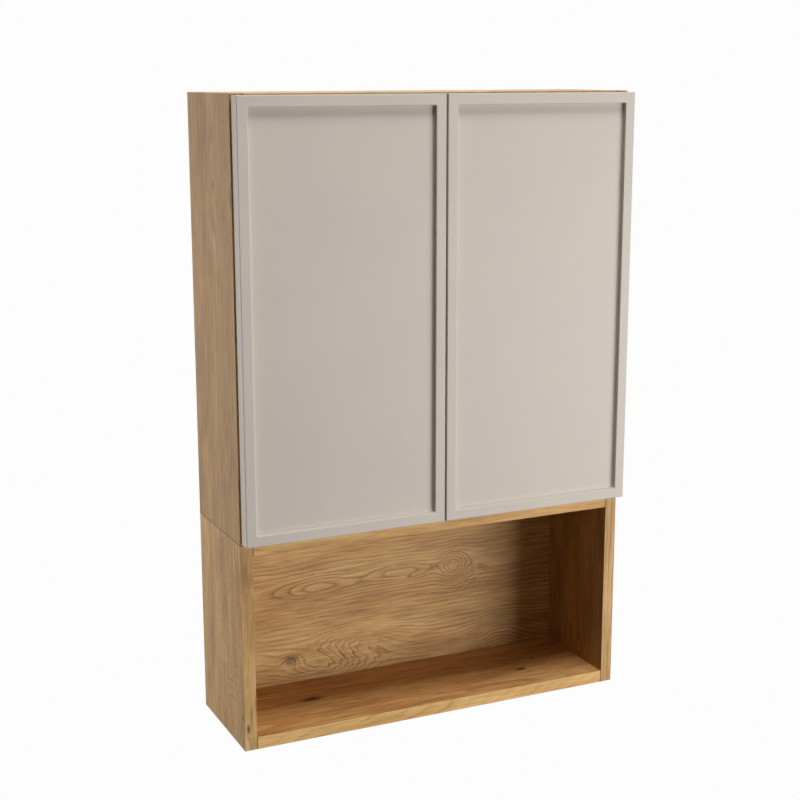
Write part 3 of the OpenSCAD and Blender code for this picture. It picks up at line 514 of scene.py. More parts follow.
def round_edges(bm, radius, shortest, segments=2):
    """Rounds the sharp edges longer than shortest, and shades flat faces flat and curved ones
    smooth."""
    edges = [e for e in bm.edges if len(e.link_faces) == 2 and e.calc_length() > shortest
             and e.calc_face_angle(0) > SHARP_TURN]
    for face in bm.faces:
        face.smooth = any(0.01 < e.calc_face_angle(0) < SHARP_TURN for e in face.edges
                          if len(e.link_faces) == 2)
    made = bmesh.ops.bevel(bm, geom=edges, offset=radius, segments=segments, profile=0.5,
                           affect="EDGES", clamp_overlap=True)
    for face in made["faces"]:
        face.smooth = True


def softened(node, name, body, slot, radius, shortest=1 * MM, look=None):
    """A CAD node's shape with its sharp edges slightly rounded."""
    bm = opened(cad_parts[node].data, CAD_MERGE)
    bmesh.ops.dissolve_limit(bm, angle_limit=ONE_PLANE, verts=bm.verts, edges=bm.edges)
    round_edges(bm, radius, shortest)
    mark_sharp(bm, 28)
    return new_piece(name, closed(bm, name, look or finish(slot)), body, slot, node)


def rounded_block(bm, low, high, radius):
    """Adds a box with rounded edges to a bmesh."""
    box = bmesh.new()
    bmesh.ops.create_cube(box, size=1.0)
    size = Vector(high) - Vector(low)
    middle = (Vector(high) + Vector(low)) / 2
    for vert in box.verts:
        vert.co = Vector(vert.co[i] * size[i] + middle[i] for i in range(3))
    round_edges(box, radius, 0.0)
    mesh = closed(box, "block")
    bm.from_mesh(mesh)
    bpy.data.meshes.remove(mesh)


def strips(name, boxes, look, radius, *nodes):
    """Edge strips as rounded boxes, in one piece on the cabinet."""
    bm = bmesh.new()
    for low, high in boxes:
        rounded_block(bm, low, high, radius)
    mark_sharp(bm, 50)
    return new_piece(name, closed(bm, name, look), "cabinet", "oak_edge", *nodes)


def ring_points(low, high, inset, corner, steps):
    """Points of a rounded rectangle in X and Z, anticlockwise seen from the front."""
    x0, x1 = low[0] + inset, high[0] - inset
    z0, z1 = low[1] + inset, high[1] - inset
    corner = max(corner, 0.02 * MM)
    points = []
    for cx, cz, start in ((x1 - corner, z0 + corner, -90), (x1 - corner, z1 - corner, 0),
                          (x0 + corner, z1 - corner, 90), (x0 + corner, z0 + corner, 180)):
        for step in range(steps + 1):
            turn = math.radians(start + 90 * step / steps)
            points.append((cx + corner * math.cos(turn), cz + corner * math.sin(turn)))
    return points


def quarter(radius, steps):
    """(inset, depth) steps of a quarter round that starts along the wall."""
    for step in range(steps + 1):
        turn = math.radians(90 * step / steps)
        yield radius * (1 - math.cos(turn)), radius * (1 - math.sin(turn))


def box_of(node):
    low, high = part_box(node)
    return Vector(low), Vector(high)


def end_of(box, axis, way):
    """The middle of a box's face on its high side, or on its low side if way is negative."""
    low, high = box
    point = (low + high) / 2
    point[axis] = high[axis] if way > 0 else low[axis]
    return point


# The pieces

SEAM = ("Z", box_of("lower_left_side")[1].z, SEAM_HALF_WIDTH)
# The side boards' tint darkens them and takes out blue: painted shade that offsets the strong side
# light and the white reflection it shows on them
SIDE = {"axes": SIDE_GRAIN, "grain": 0.8, "contrast": 1.0, "tint_and_painted_light": (0.62, 0.58, 0.50),
        "glue": [SEAM]}
# The level boards' darker, redder tint is painted shade: the deep, reddish shade of the lower
# niche's floor
LEVEL = {"axes": LEVEL_GRAIN, "tint_and_painted_light": (0.97, 0.88, 0.88)}
BOARDS = {
    "upper_left_side": dict(SIDE, place=(0.35, 0.11, 0.31), arch=0.06, figures=[
        (0.024, -0.149, 0.004, 0.0016, 0.001, 0.9),
        (-0.074, -0.174, 0.022, 0.005, 0.004, 0.7),
        (-0.455, -0.135, 0.020, 0.010, -0.012, 0)]),
    "upper_right_side": dict(SIDE, place=(1.65, 0.06, -0.25), arch=0.05),
    # The lower left side's lighter tint is less of that painted shade
    "lower_left_side": dict(SIDE, place=(2.15, 0.114, 0.33), arch=0.07,
                            tint_and_painted_light=(0.79, 0.785, 0.745), figures=[
        (-0.794, -0.172, 0.006, 0.003, 0.004, 0.8),
        (-0.545, -0.124, 0.002, 0.002, 0.0, 0.9)],
        curls=[(-0.67, -0.114, 0.09, 0.03, 0, 0, 0.008)]),
    "lower_right_side": dict(SIDE, place=(3.05, 0.09, -0.27), arch=0.08),
    # The top panel's paler, bluer tint is a painted sheen, the white reflection on its top seen at
    # a grazing angle
    "upper_top_panel": dict(LEVEL, place=(4.1, 0.08, -0.05), arch=0.05, tint_and_painted_light=(1.1, 1.15, 1.3)),
    "upper_bottom_panel": dict(LEVEL, place=(5.2, 0.09, 0.54), arch=0.06),
    "lower_top_panel": dict(LEVEL, place=(6.3, 0.07, 0.56), arch=0.05),
    "lower_bottom_panel": dict(LEVEL, place=(7.4, 0.16, 0.83), arch=0.05, figures=[
        (-0.163, -0.088, 0.026, 0.008, 0.012, 0.97),
        (0.173, -0.119, 0.012, 0.005, 0.010, 0.97),
        (0.192, -0.094, 0.030, 0.009, 0.016, 0)],
        curls=[(0.188, -0.096, 0.04, 0.014, 0, 0, 0.003)]),
    "lower_back_panel": dict(
        axes=BACK_GRAIN, place=(0.0, 0.677, 0.02), arch=0.004, wander=0.03, contrast=0.8,
        figures=[(-0.121, -0.677, 0.060, 0.018, -0.0190, 0),
                 (0.014, -0.674, 0.060, 0.018, -0.0190, 0),
                 (0.029, -0.682, 0.006, 0.003, -0.002, 0.5),
                 (0.107, -0.677, 0.020, 0.028, -0.0250, 0),
                 (-0.170, -0.788, 0.014, 0.011, 0.014, 0.6),
                 (0.191, -0.815, 0.050, 0.050, 0.026, 0)],
        curls=[(-0.078, -0.794, 0.070, 0.034, 0.66, 1.55, 0.0015),
               (0.130, -0.690, 0.035, 0.035, 0, 0, 0.0015)]),
    "top_shelf": dict(LEVEL, place=(9.8, 0.08, 0.14), arch=0.05),
    "bottom_shelf": dict(LEVEL, place=(10.9, 0.09, 0.33), arch=0.06),
    "upper_back_panel": dict(axes=BACK_GRAIN, place=(12.0, 0.24, 0.02), arch=0.04),
}


class CABINET_OT_boards(bpy.types.Operator):
    """Make the oak-decor boards of both units and the shelves"""
    bl_idname = "cabinet.boards"
    bl_label = "Boards"

    def execute(self, context):
        for node, decor in BOARDS.items():
            softened(node, node + "_board", "cabinet",
                     "thin_board" if node == "upper_back_panel" else "oak_veneer",
                     context.scene.cabinet_sizes.board_edge, 3 * MM,
                     oak_decor("oak_decor_" + node, **decor))
        return {"FINISHED"}


class CABINET_OT_edge_strips(bpy.types.Operator):
    """Make the thin strips that cover the boards' front edges"""
    bl_idname = "cabinet.edge_strips"
    bl_label = "Edge strips"

    def execute(self, context):
        radius = context.scene.cabinet_sizes.strip_edge
        upright = oak_decor("oak_edge_upright", UPRIGHT_EDGE, (13.3, 0.31, 0.0), 0.02, 0.02,
                            contrast=0.6, glue=[SEAM],
                            figures=[(-0.809, -0.294, 0.010, 0.0035, 0.006, 0.8)])
        ends = box_of("upper_left_side")[1].x
        # Name: place in the log, arch, wander, grain, contrast and tint. The level and arched
        # strips are paler than the upright ones; the top strip's paler, bluer tint is a painted
        # sheen on the upper unit's top edge
        level = {"level": ((14.4, 0.60, 0.01), 0.02, 0.02, 0.6, 0.6, (1.22, 1.22, 1.14)),
                 "arched": ((14.4, 0.76, 0.01), 0.16, 0.10, 0.5, 0.5, (1.22, 1.22, 1.14)),
                 "top": ((15.6, 0.60, 0.01), 0.02, 0.02, 0.6, 0.6, (1.2, 1.4, 1.8))}
        looks = {name: oak_decor("oak_edge_" + name, BACK_GRAIN, *values, glue=[
            ("X", x, STRIP_JOINT_HALF_WIDTH) for x in (ends, -ends)])
            for name, values in level.items()}
        for unit in ("upper", "lower"):
            low, high = box_of(unit + "_edge_strips")
            board = box_of(unit + "_left_side")
            width = board[1].x - board[0].x
            strips(unit + "_upright_edge_strips", [
                ((x, low.y, low.z), (x + width, high.y, high.z))
                for x in (low.x, high.x - width)], upright, radius, unit + "_edge_strips")
            # The upper unit's top strip takes the painted sheen
            for end, z, look in (("bottom", low.z, "arched"),
                                 ("top", high.z - width, "top" if unit == "upper" else "level")):
                rail = ((low.x + width, low.y, z), (high.x - width, high.y, z + width))
                strips(unit + "_" + end + "_edge_strip", [rail], looks[look], radius)
        low, high = box_of("shelf_edge_strips")
        shelf = box_of("top_shelf")
        thick = shelf[1].z - shelf[0].z
        strips("shelf_edges", [((low.x, low.y, z), (high.x, high.y, z + thick))
                               for z in (low.z, high.z - thick)],
               looks["level"], radius, "shelf_edge_strips")
        return {"FINISHED"}


def door_mesh(name, node, look):
    """A door from rings of points: back, outer wall, rounded front edge, border, inner edge, wall,
    fillet and field. The bores in its back are cut afterwards."""
    sizes = bpy.context.scene.cabinet_sizes
    low, high = box_of(node)
    floor = low.y + DOOR_FIELD_DEPTH
    # Each ring is (inset, y, corner radius)
    rings = [(inset, high.y - depth, DOOR_OUTER_CORNER - inset)
             for inset, depth in reversed(list(quarter(DOOR_BACK_EDGE, BACK_STEPS)))]
    rings += [(inset, low.y + depth, DOOR_OUTER_CORNER - inset)
              for inset, depth in quarter(sizes.door_edge, FRONT_STEPS)]
    rings += [(DOOR_BORDER - inset, low.y + depth, DOOR_FIELD_CORNER + inset)
              for inset, depth in reversed(list(quarter(sizes.door_inner_edge, FRONT_STEPS)))]
    rings += [(DOOR_BORDER + inset, floor - depth, DOOR_FIELD_CORNER - inset)
              for inset, depth in quarter(sizes.door_field_fillet, FRONT_STEPS)]
    bm = bmesh.new()
    loops = [[bm.verts.new((x, y, z)) for x, z in ring_points(
        (low.x, low.z), (high.x, high.z), inset, corner, CORNER_STEPS)]
        for inset, y, corner in rings]
    bm.faces.new(loops[0])
    for first, second in zip(loops, loops[1:]):
        for i in range(len(first)):
            j = (i + 1) % len(first)
            bm.faces.new((first[i], first[j], second[j], second[i]))
    bm.faces.new(loops[-1])
    bmesh.ops.recalc_face_normals(bm, faces=bm.faces)
    for face in bm.faces:
        face.smooth = len(face.verts) == 4
    return closed(bm, name, look)


def cut_bores(mesh, side):
    """Cuts the hinge cups' bores and the cup screws' pilot holes into a door's back."""
    low, high = box_of(side + "_hinge_cups")
    screws = box_of(side + "_cup_screws")
    back = box_of(side + "_door")[1].y
    bm = bmesh.new()
    cup_x = -CUP_BORE_X if side == "left" else CUP_BORE_X
    screw_x = (screws[0].x + screws[1].x) / 2
    for sign in (-1, 1):
        z = (high.z + low.z) / 2 + sign * ((high.z - low.z) / 2 - CUP_HALF_HEIGHT)
        holes = [(cup_x, z, CUP_BORE_RADIUS, CUP_BORE_DEPTH, 64)]
        holes += [(screw_x, z + s * PILOT_OFFSET, PILOT_RADIUS, PILOT_DEPTH, 20) for s in (-1, 1)]
        for x, hole_z, radius, depth, segments in holes:
            turn = Matrix.Translation((x, back, hole_z)) @ Matrix.Rotation(math.pi / 2, 4, "X")
            bmesh.ops.create_cone(bm, cap_ends=True, segments=segments, radius1=radius,
                                  radius2=radius, depth=2 * depth, matrix=turn)
    bmesh.ops.recalc_face_normals(bm, faces=bm.faces)
    door = linked("door_blank", mesh)
    cutter = linked("bore_cutter", closed(bm, "bore_cutter"))
    cut = door.modifiers.new("bores", "BOOLEAN")
    cut.operation, cut.solver, cut.object = "DIFFERENCE", "EXACT", cutter
    result = evaluated(door)
    bm = opened(result)
    # Faces square to an axis stay flat, and the bores' walls and the edges are round
    for face in bm.faces:
        face.smooth = max(abs(c) for c in face.normal) < 0.9999
    mark_sharp(bm, 32)
    bm.to_mesh(mesh)
    bm.free()
    bpy.data.objects.remove(cutter)
    bpy.data.meshes.remove(result)


class CABINET_OT_doors(bpy.types.Operator):
    """Make the two lacquered doors"""
    bl_idname = "cabinet.doors"
    bl_label = "Doors"

    def execute(self, context):
        look = satin_lacquer()
        for side in SIDES:
            node = side + "_door"
            mesh = door_mesh(node + "_leaf", node, look)
            cut_bores(mesh, side)
            new_piece(node + "_leaf", mesh, node, "door_lacquer", node)
        return {"FINISHED"}


def islands(node):
    """The low and high corners of each separate solid in a CAD node."""
    bm = opened(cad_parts[node].data, CAD_MERGE)
    left, boxes = set(bm.verts), []
    while left:
        found, edge = set(), [left.pop()]
        while edge:
            vert = edge.pop()
            found.add(vert)
            near = {e.other_vert(vert) for e in vert.link_edges} & left
            left -= near
            edge.extend(near)
        boxes.append([Vector(pick(v.co[i] for v in found) for i in range(3))
                      for pick in (min, max)])
    bm.free()
    return sorted(boxes, key=lambda box: tuple(round(c, 5) for c in box[0]))


# Geometry Nodes trees for the screws, dowels, supports and springs

def new_tree(name, sizes):
    """A tree with its sizes as named inputs, and those inputs as fields."""
    tree = bpy.data.node_groups.new(name, "GeometryNodeTree")
    tree.interface.new_socket("Places", in_out="INPUT", socket_type="NodeSocketGeometry")
    for label, value in sizes.items():
        kind = "NodeSocketInt" if isinstance(value, int) else "NodeSocketFloat"
        tree.interface.new_socket(label, in_out="INPUT", socket_type=kind).default_value = value
    tree.interface.new_socket("Material", in_out="INPUT", socket_type="NodeSocketMaterial")
    tree.interface.new_socket("Mesh", in_out="OUTPUT", socket_type="NodeSocketGeometry")
    return tree, fields_of(add(tree, "NodeGroupInput", output=None))


def profile(along, values):
    """A field that follows evenly spaced values from 0 to 1 in straight lines."""
    made = add(tree_of(along), "ShaderNodeFloatCurve", {"Value": along}, None)
    curve = made.mapping.curves[0]
    while len(curve.points) < len(values):
        curve.points.new(0.5, 0.5)
    for i, (point, value) in enumerate(zip(curve.points, values)):
        point.location, point.handle_type = (i / (len(values) - 1), value), "VECTOR"
    made.mapping.update()
    return Field(made.outputs[0])


def turned_surface(tree, around, rows, shape):
    """A closed surface round Z. shape takes the fields (turn, along), both from 0 to 1, and
    returns the fields (radius, height)."""
    grid = add(tree, "GeometryNodeMeshGrid", {"Size X": 1.0, "Size Y": 1.0,
                                              "Vertices X": around, "Vertices Y": rows})
    x, y = split(add(tree, "GeometryNodeInputPosition"))[:2]
    turn = x + 0.5
    radius, height = shape(turn, y + 0.5)
    angle = turn * (2 * math.pi)
    place = vector(radius * maths("COSINE", angle), radius * maths("SINE", angle), height)
    made = add(tree, "GeometryNodeSetPosition", {"Geometry": grid, "Position": place})
    return add(tree, "GeometryNodeMergeByDistance", {"Geometry": made, "Distance": MADE_MERGE})


def joined(tree, *parts):
    made = add(tree, "GeometryNodeJoinGeometry", output=None)
    for part in parts:
        tree.links.new(part.socket, made.inputs[0])
    return Field(made.outputs[0])


def end_tree(tree, source, one):
    """Puts one piece on each place, turned by its attribute, as plain mesh with its material."""
    turn = add(tree, "GeometryNodeInputNamedAttribute", {"Name": "turn"}, data_type="FLOAT_VECTOR")
    turn = add(tree, "FunctionNodeEulerToRotation", {0: turn})
    many = add(tree, "GeometryNodeInstanceOnPoints", {"Points": source["Places"], "Instance": one,
                                                      "Rotation": turn})
    real = add(tree, "GeometryNodeRealizeInstances", {"Geometry": many})
    dressed = add(tree, "GeometryNodeSetMaterial", {"Geometry": real,
                                                    "Material": source["Material"]})
    add(tree, "NodeGroupOutput", {"Mesh": dressed}, None)
    return tree


def screw_tree():
    """A screw with a domed head, a cross recess and a rolled thread, its head above Z = 0."""
    tree, size = new_tree("cross_head_screw", {
        "Shank diameter": 3.4 * MM, "Shank length": 10 * MM, "Head diameter": 6.4 * MM,
        "Head height": 0.8 * MM, "Thread pitch": 1.2 * MM, "Thread depth": 0.5 * MM,
        "Tip length": 3 * MM, "Recess width": 3.8 * MM})
    root = size["Head height"] * 0.4
    reach = size["Shank length"] + root
    rows = reach / size["Thread pitch"] * 7.0

    def shank(turn, along):
        depth = along * reach
        phase = maths("FRACT", depth / size["Thread pitch"] + turn)
        ridge = maths("SUBTRACT", 1.0, maths("ABSOLUTE", phase - 0.5) * 3.0, clamp=True)
        radius = size["Shank diameter"] * 0.5 - (1.0 - ridge) * size["Thread depth"]
        taper = maths("ADD", (reach - depth) / size["Tip length"], 0.15, clamp=True)
        ends = maths("GREATER_THAN", along, 0.0001) * maths("LESS_THAN", along, 0.9999)
        return radius * (taper * ends), root - depth

    def head(turn, along):
        return (profile(along, [0, 1, 1, 0.985, 0.94, 0.85, 0.72, 0.6, 0])
                * (size["Head diameter"] * 0.5),
                profile(along, [0, 0, 0.4, 0.62, 0.8, 0.92, 0.98, 1, 1]) * size["Head height"])

    wide, slot = size["Recess width"], size["Recess width"] * 0.25
    deep = size["Head height"] * 1.4
    top = vector(z=size["Head height"])
    capped = turned_surface(tree, 33, 9, head)
    for x, y in ((wide, slot), (slot, wide)):
        bar = add(tree, "GeometryNodeMeshCube", {"Size": vector(x, y, deep)})
        bar = add(tree, "GeometryNodeTransform", {"Geometry": bar, "Translation": top})
        capped = add(tree, "GeometryNodeMeshBoolean", {"Mesh 1": capped, "Mesh 2": bar},
                     operation="DIFFERENCE", solver="EXACT")
    return end_tree(tree, size, joined(tree, capped, turned_surface(tree, 25, rows, shank)))


def dowel_tree():
    """A beech dowel with chamfered ends and straight glue flutes, from Z = 0 upwards."""
    tree, size = new_tree("fluted_dowel", {"Diameter": 8 * MM, "Length": 35 * MM, "Flutes": 16,
                                           "Flute depth": 0.35 * MM})

    def rod(turn, along):
        wave = maths("COSINE", turn * size["Flutes"] * (2 * math.pi))
        radius = size["Diameter"] * 0.5 - (wave + 1.0) * (size["Flute depth"] * 0.5)
        return (radius * profile(along, [0, 0.8, 0.95, 1, 1, 0.95, 0.8, 0]),
                profile(along, [0, 0, 0.02, 0.05, 0.95, 0.98, 1, 1]) * size["Length"])

    return end_tree(tree, size, turned_surface(tree, 65, 8, rod))


def support_tree():
    """A shelf support: a peg below Z = 0, a collar and a head with a flat on its +Y side."""
    tree, size = new_tree("shelf_support", {
        "Peg diameter": 4.9 * MM, "Peg length": 11 * MM, "Head diameter": 7 * MM,
        "Head length": 8 * MM, "Flat height": 2.9 * MM})

    def peg(turn, along):
        height = profile(along, [0, 0, 0.06, 0.5, 1, 1]) * size["Peg length"] - size["Peg length"]
        return profile(along, [0, 0.8, 1, 1, 1, 0]) * (size["Peg diameter"] * 0.5), height

    def head(turn, along):
        return (profile(along, [0, 1, 1, 0.88, 0.88, 1, 1, 0.97, 0.9, 0])
                * (size["Head diameter"] * 0.5),
                profile(along, [0, 0, 0.1, 0.16, 0.8, 0.84, 0.94, 0.98, 1, 1])
                * size["Head length"])

    round_head = turned_surface(tree, 33, 10, head)
    x, y, z = split(add(tree, "GeometryNodeInputPosition"))
    place = vector(x, maths("MINIMUM", y, size["Flat height"]), z)
    flat = add(tree, "GeometryNodeSetPosition", {"Geometry": round_head, "Position": place})
    return end_tree(tree, size, joined(tree, flat, turned_surface(tree, 25, 6, peg)))


def spring_tree():
    """A compression spring of round wire, from Z = 0 upwards."""
    tree, size = new_tree("coil_spring", {
        "Turns": 11.0, "Outer diameter": 6.6 * MM, "Wire diameter": 0.7 * MM, "Length": 26 * MM})
    wire = size["Wire diameter"] * 0.5
    middle = size["Outer diameter"] * 0.5 - wire
    coil = add(tree, "GeometryNodeCurveSpiral", {
        "Resolution": 18, "Rotations": size["Turns"], "Start Radius": middle,
        "End Radius": middle, "Height": size["Length"] - size["Wire diameter"]})
    ring = add(tree, "GeometryNodeCurvePrimitiveCircle", {"Resolution": 8, "Radius": wire})
    tube = add(tree, "GeometryNodeCurveToMesh", {"Curve": coil, "Profile Curve": ring,
                                                 "Fill Caps": True})
    lift = vector(z=wire)
    tube = add(tree, "GeometryNodeTransform", {"Geometry": tube, "Translation": lift})
    return end_tree(tree, size, tube)


TREES = {}


def planted(name, maker, places, body, slot, nodes, **sizes):
    """Runs a maker's tree, built on its first use, on places, each (point, direction of its Z,
    direction of its Y), and keeps the result as one plain mesh that stands for the CAD nodes."""
    tree = TREES[maker] = TREES.get(maker) or maker()
    spots = bpy.data.meshes.new(name + "_places")
    spots.from_pydata([point for point, axis, side in places], [], [])
    turns = spots.attributes.new("turn", "FLOAT_VECTOR", "POINT")
    for item, (point, axis, side) in zip(turns.data, places):
        item.vector = Matrix((side.cross(axis), side, axis)).transposed().to_euler()
    holder = linked(name + "_places", spots)
    modifier = holder.modifiers.new("shape", "NODES")
    modifier.node_group = tree
    sockets = {item.name: item.identifier for item in tree.interface.items_tree
               if item.in_out == "INPUT"}
    modifier[sockets["Material"]] = finish(slot)
    for label, value in sizes.items():
        modifier[sockets[label.replace("_", " ").capitalize()]] = value
    made = evaluated(holder)
    made.name = name
    bpy.data.meshes.remove(spots)
    if not made.polygons:
        raise RuntimeError("nothing was made for " + name)
    bm = opened(made, MADE_MERGE)
    bmesh.ops.recalc_face_normals(bm, faces=bm.faces)
    for face in bm.faces:
        face.smooth = True
    mark_sharp(bm, 34)
    bm.to_mesh(made)
    bm.free()
    return new_piece(name, made, body, slot, *nodes)


def dress(node, slot):
    """Gives a CAD node that keeps its own mesh its finish."""
    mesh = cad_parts[node].data
    mesh.materials.clear()
    mesh.materials.append(finish(slot))


class CABINET_OT_hinges(bpy.types.Operator):
    """Make the hinges' cups, arms, plates, links and pins"""
    bl_idname = "cabinet.hinges"
    bl_label = "Hinges"

    def execute(self, context):
        radius = context.scene.cabinet_sizes.fitting_edge
        softened("hinge_arms", "hinge_arm_stampings", "cabinet", NICKEL, radius)
        softened("hinge_mounting_plates", "hinge_plate_castings", "cabinet", NICKEL, radius)
        dress("hinge_arm_pins", STEEL)
        for side in SIDES:
            softened(side + "_hinge_cups", side + "_cup_pressings", side + "_door", NICKEL, radius)
            for links, slot in ((side + "_outer_link", NICKEL), (side + "_inner_link", ZINC)):
                softened(links + "s", links + "_plates", links + "s", slot, radius)
            dress(side + "_cup_pins", STEEL)
            dress(side + "_slide_pins", STEEL)
        return {"FINISHED"}


class CABINET_OT_screws(bpy.types.Operator):
    """Make the hinges', latches', connectors' and hangers' screws"""
    bl_idname = "cabinet.screws"
    bl_label = "Screws"

    def execute(self, context):
        pitch = context.scene.cabinet_sizes.thread_pitch
        # Node: body, axis, direction of the head (0: towards the middle), head height in mm,
        # shank diameter in mm, pitch, recess over the head's diameter
        kinds = {"left_cup_screws": ("left_door", 1, 1, 0.8, 3.4, pitch, 0.6),
                 "right_cup_screws": ("right_door", 1, 1, 0.8, 3.4, pitch, 0.6),
                 "hinge_plate_screws": ("cabinet", 0, 0, 1.6, 4.9, 1.5 * pitch, 0.6),
                 "hinge_arm_screws": ("cabinet", 0, 0, 1.4, 4.0, 0.6 * pitch, 0.6),
                 "latch_screws": ("cabinet", 2, -1, 1.0, 3.4, pitch, 0.6),
                 "connector_bolts": ("cabinet", 2, 1, 1.6, 5.8, 0.9 * pitch, 0.36),
                 "hanger_height_screws": ("cabinet", 2, -1, 2.0, 6.0, 0.9 * pitch, 0.6),
                 "hanger_depth_screws": ("cabinet", 1, -1, 2.0, 6.0, 0.9 * pitch, 0.66)}
        for node, (body, axis, sign, head_mm, shank_mm, lead, recess) in kinds.items():
            boxes = islands(node)
            span = boxes[0][1] - boxes[0][0]
            head, width = head_mm * MM, max(span[i] for i in range(3) if i != axis)
            places = []
            for box in boxes:
                way = sign or (1 if box[0].x < 0 else -1)
                point, out = end_of(box, axis, way), Vector((0, 0, 0))
                point[axis] -= way * head
                out[axis] = way
                places.append((point, out, UP if axis != 2 else Vector((0, 1, 0))))
            # Wood screws have a deep thread and a long tip, machine screws neither
            thread, tip = (0.14, 0.9) if shank_mm < 5 else (0.08, 0.15)
            planted(node + "_threaded", screw_tree, places, body, ZINC, [node],
                    shank_diameter=shank_mm * MM, shank_length=span[axis] - head,
                    head_diameter=width, head_height=head, thread_pitch=lead,
                    thread_depth=thread * shank_mm * MM, tip_length=tip * shank_mm * MM,
                    recess_width=recess * width)
        return {"FINISHED"}


class CABINET_OT_joinery(bpy.types.Operator):
    """Make the dowels, the connector sleeves and the shelf supports"""
    bl_idname = "cabinet.joinery"
    bl_label = "Dowels and supports"

    def execute(self, context):
        for node in ("upper_dowels", "lower_dowels"):
            boxes = islands(node)
            places = [(end_of(box, 0, -1), Vector((1, 0, 0)), UP) for box in boxes]
            span = boxes[0][1] - boxes[0][0]
            planted(node + "_fluted", dowel_tree, places, "cabinet", WOOD, [node],
                    diameter=span.y, length=span.x)
        places = []
        for low, high in islands("shelf_supports"):
            inward = 1 if low.x < 0 else -1
            point = Vector(((low.x if inward > 0 else high.x) + inward * PEG_LENGTH,
                            (low.y + high.y) / 2, high.z - SUPPORT_FLAT_HEIGHT))
            places.append((point, Vector((inward, 0, 0)), UP))
        planted("shelf_support_pegs", support_tree, places, "cabinet", NICKEL, ["shelf_supports"],
                head_diameter=high.y - low.y, head_length=SUPPORT_HEAD_LENGTH,
                peg_length=PEG_LENGTH, flat_height=SUPPORT_FLAT_HEIGHT)
        softened("connector_sleeves", "connector_sleeve_turnings", "cabinet", ZINC, 0.4 * MM)
        return {"FINISHED"}


class CABINET_OT_latches(bpy.types.Operator):
    """Make the push latches: housings, plungers, magnets, springs and strike plates"""
    bl_idname = "cabinet.latches"
    bl_label = "Latches"

    def execute(self, context):
        turns = float(context.scene.cabinet_sizes.spring_turns)
        softened("latch_housings", "latch_housing_mouldings", "cabinet", PLASTIC, 0.8 * MM, 2 * MM)
        for side in SIDES:
            plunger = side + "_plunger"
            for node, name, body, slot, radius in (
                    ("_latch_plunger", "_plunger_moulding", plunger, PLASTIC, 0.3 * MM),
                    ("_latch_magnet", "_magnet_disc", plunger, MAGNET, 0.15 * MM),
                    ("_strike_plate", "_strike_disc", side + "_door", ZINC, 0.2 * MM)):
                softened(side + node, side + name, body, slot, radius, 0)
            node = side + "_latch_spring"
            box = box_of(node)
            start, front, span = end_of(box, 1, 1), end_of(box, 1, -1), box[1] - box[0]
            spring = planted(side + "_spring_coil", spring_tree,
                             [(start, Vector((0, -1, 0)), UP)], None, STEEL, [node],
                             turns=turns, outer_diameter=span.x, length=span.y)
            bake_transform(spring)
        return {"FINISHED"}


class CABINET_OT_hangers(bpy.types.Operator):
    """Make the cabinet hangers and the wall plates"""
    bl_idname = "cabinet.hangers"
    bl_label = "Hangers"

    def execute(self, context):
        for node, name, slot, radius in (
                ("hanger_housings", "hanger_housing_stampings", ZINC, 0.5 * MM),
                ("hanger_hooks", "hanger_hook_bars", ZINC, 0.4 * MM),
                ("wall_plates", "wall_plate_stampings", ZINC, 0.4 * MM),
                ("hanger_cover_caps", "hanger_cover_mouldings", PLASTIC, 0.6 * MM)):
            softened(node, name, "cabinet", slot, radius)
        return {"FINISHED"}


# The floor, the lights and the camera

class StageSettings(bpy.types.PropertyGroup):
    key_power: watts("Key light", 77.0, "Wide, low light at the front right")
    top_power: watts("Top light", 75.0, "Overhead light, a little to the front")
    side_power: watts("Side light", 15.0, "Weak light on the left side")
    low_power: watts("Low light", 0.4, "Faint light from the front left, from below")
    rear_power: watts("Rear light", 16.0, "Light behind the cabinet, for views of its back")
    ambient: bpy.props.FloatProperty(name="Ambient", default=0.004, min=0.0,
                                     description="Brightness of the surrounding white room")


# Azimuth from the front towards the right and elevation in degrees, distance from the cabinet's
# middle, width and height
LAMPS = {"key": (42.4, -6.4, 3.12, 2.2, 1.1), "top": (10, 72, 3.4, 0.8, 0.8),
         "side": (-110, 3, 1.7, 1.2, 1.2), "low": (-25, -20, 2.6, 1.2, 1.2),
         "rear": (180, 20, 2.4, 3.0, 3.0)}
CABINET_MIDDLE = (0.0, -0.1, -0.45)
CAMERA_PLACE = (-0.9270, -2.0391, 0.0857)
CAMERA_TURN = (77.708, 0.088, -24.972)
CAMERA_LENS, CAMERA_SENSOR = 67.88, 36.0
BACKGROUND = "FDFDFD"
FLOOR_COLOUR, FLOOR_DROP, FLOOR_RADIUS = "F4F4F3", 1.15, 1.6


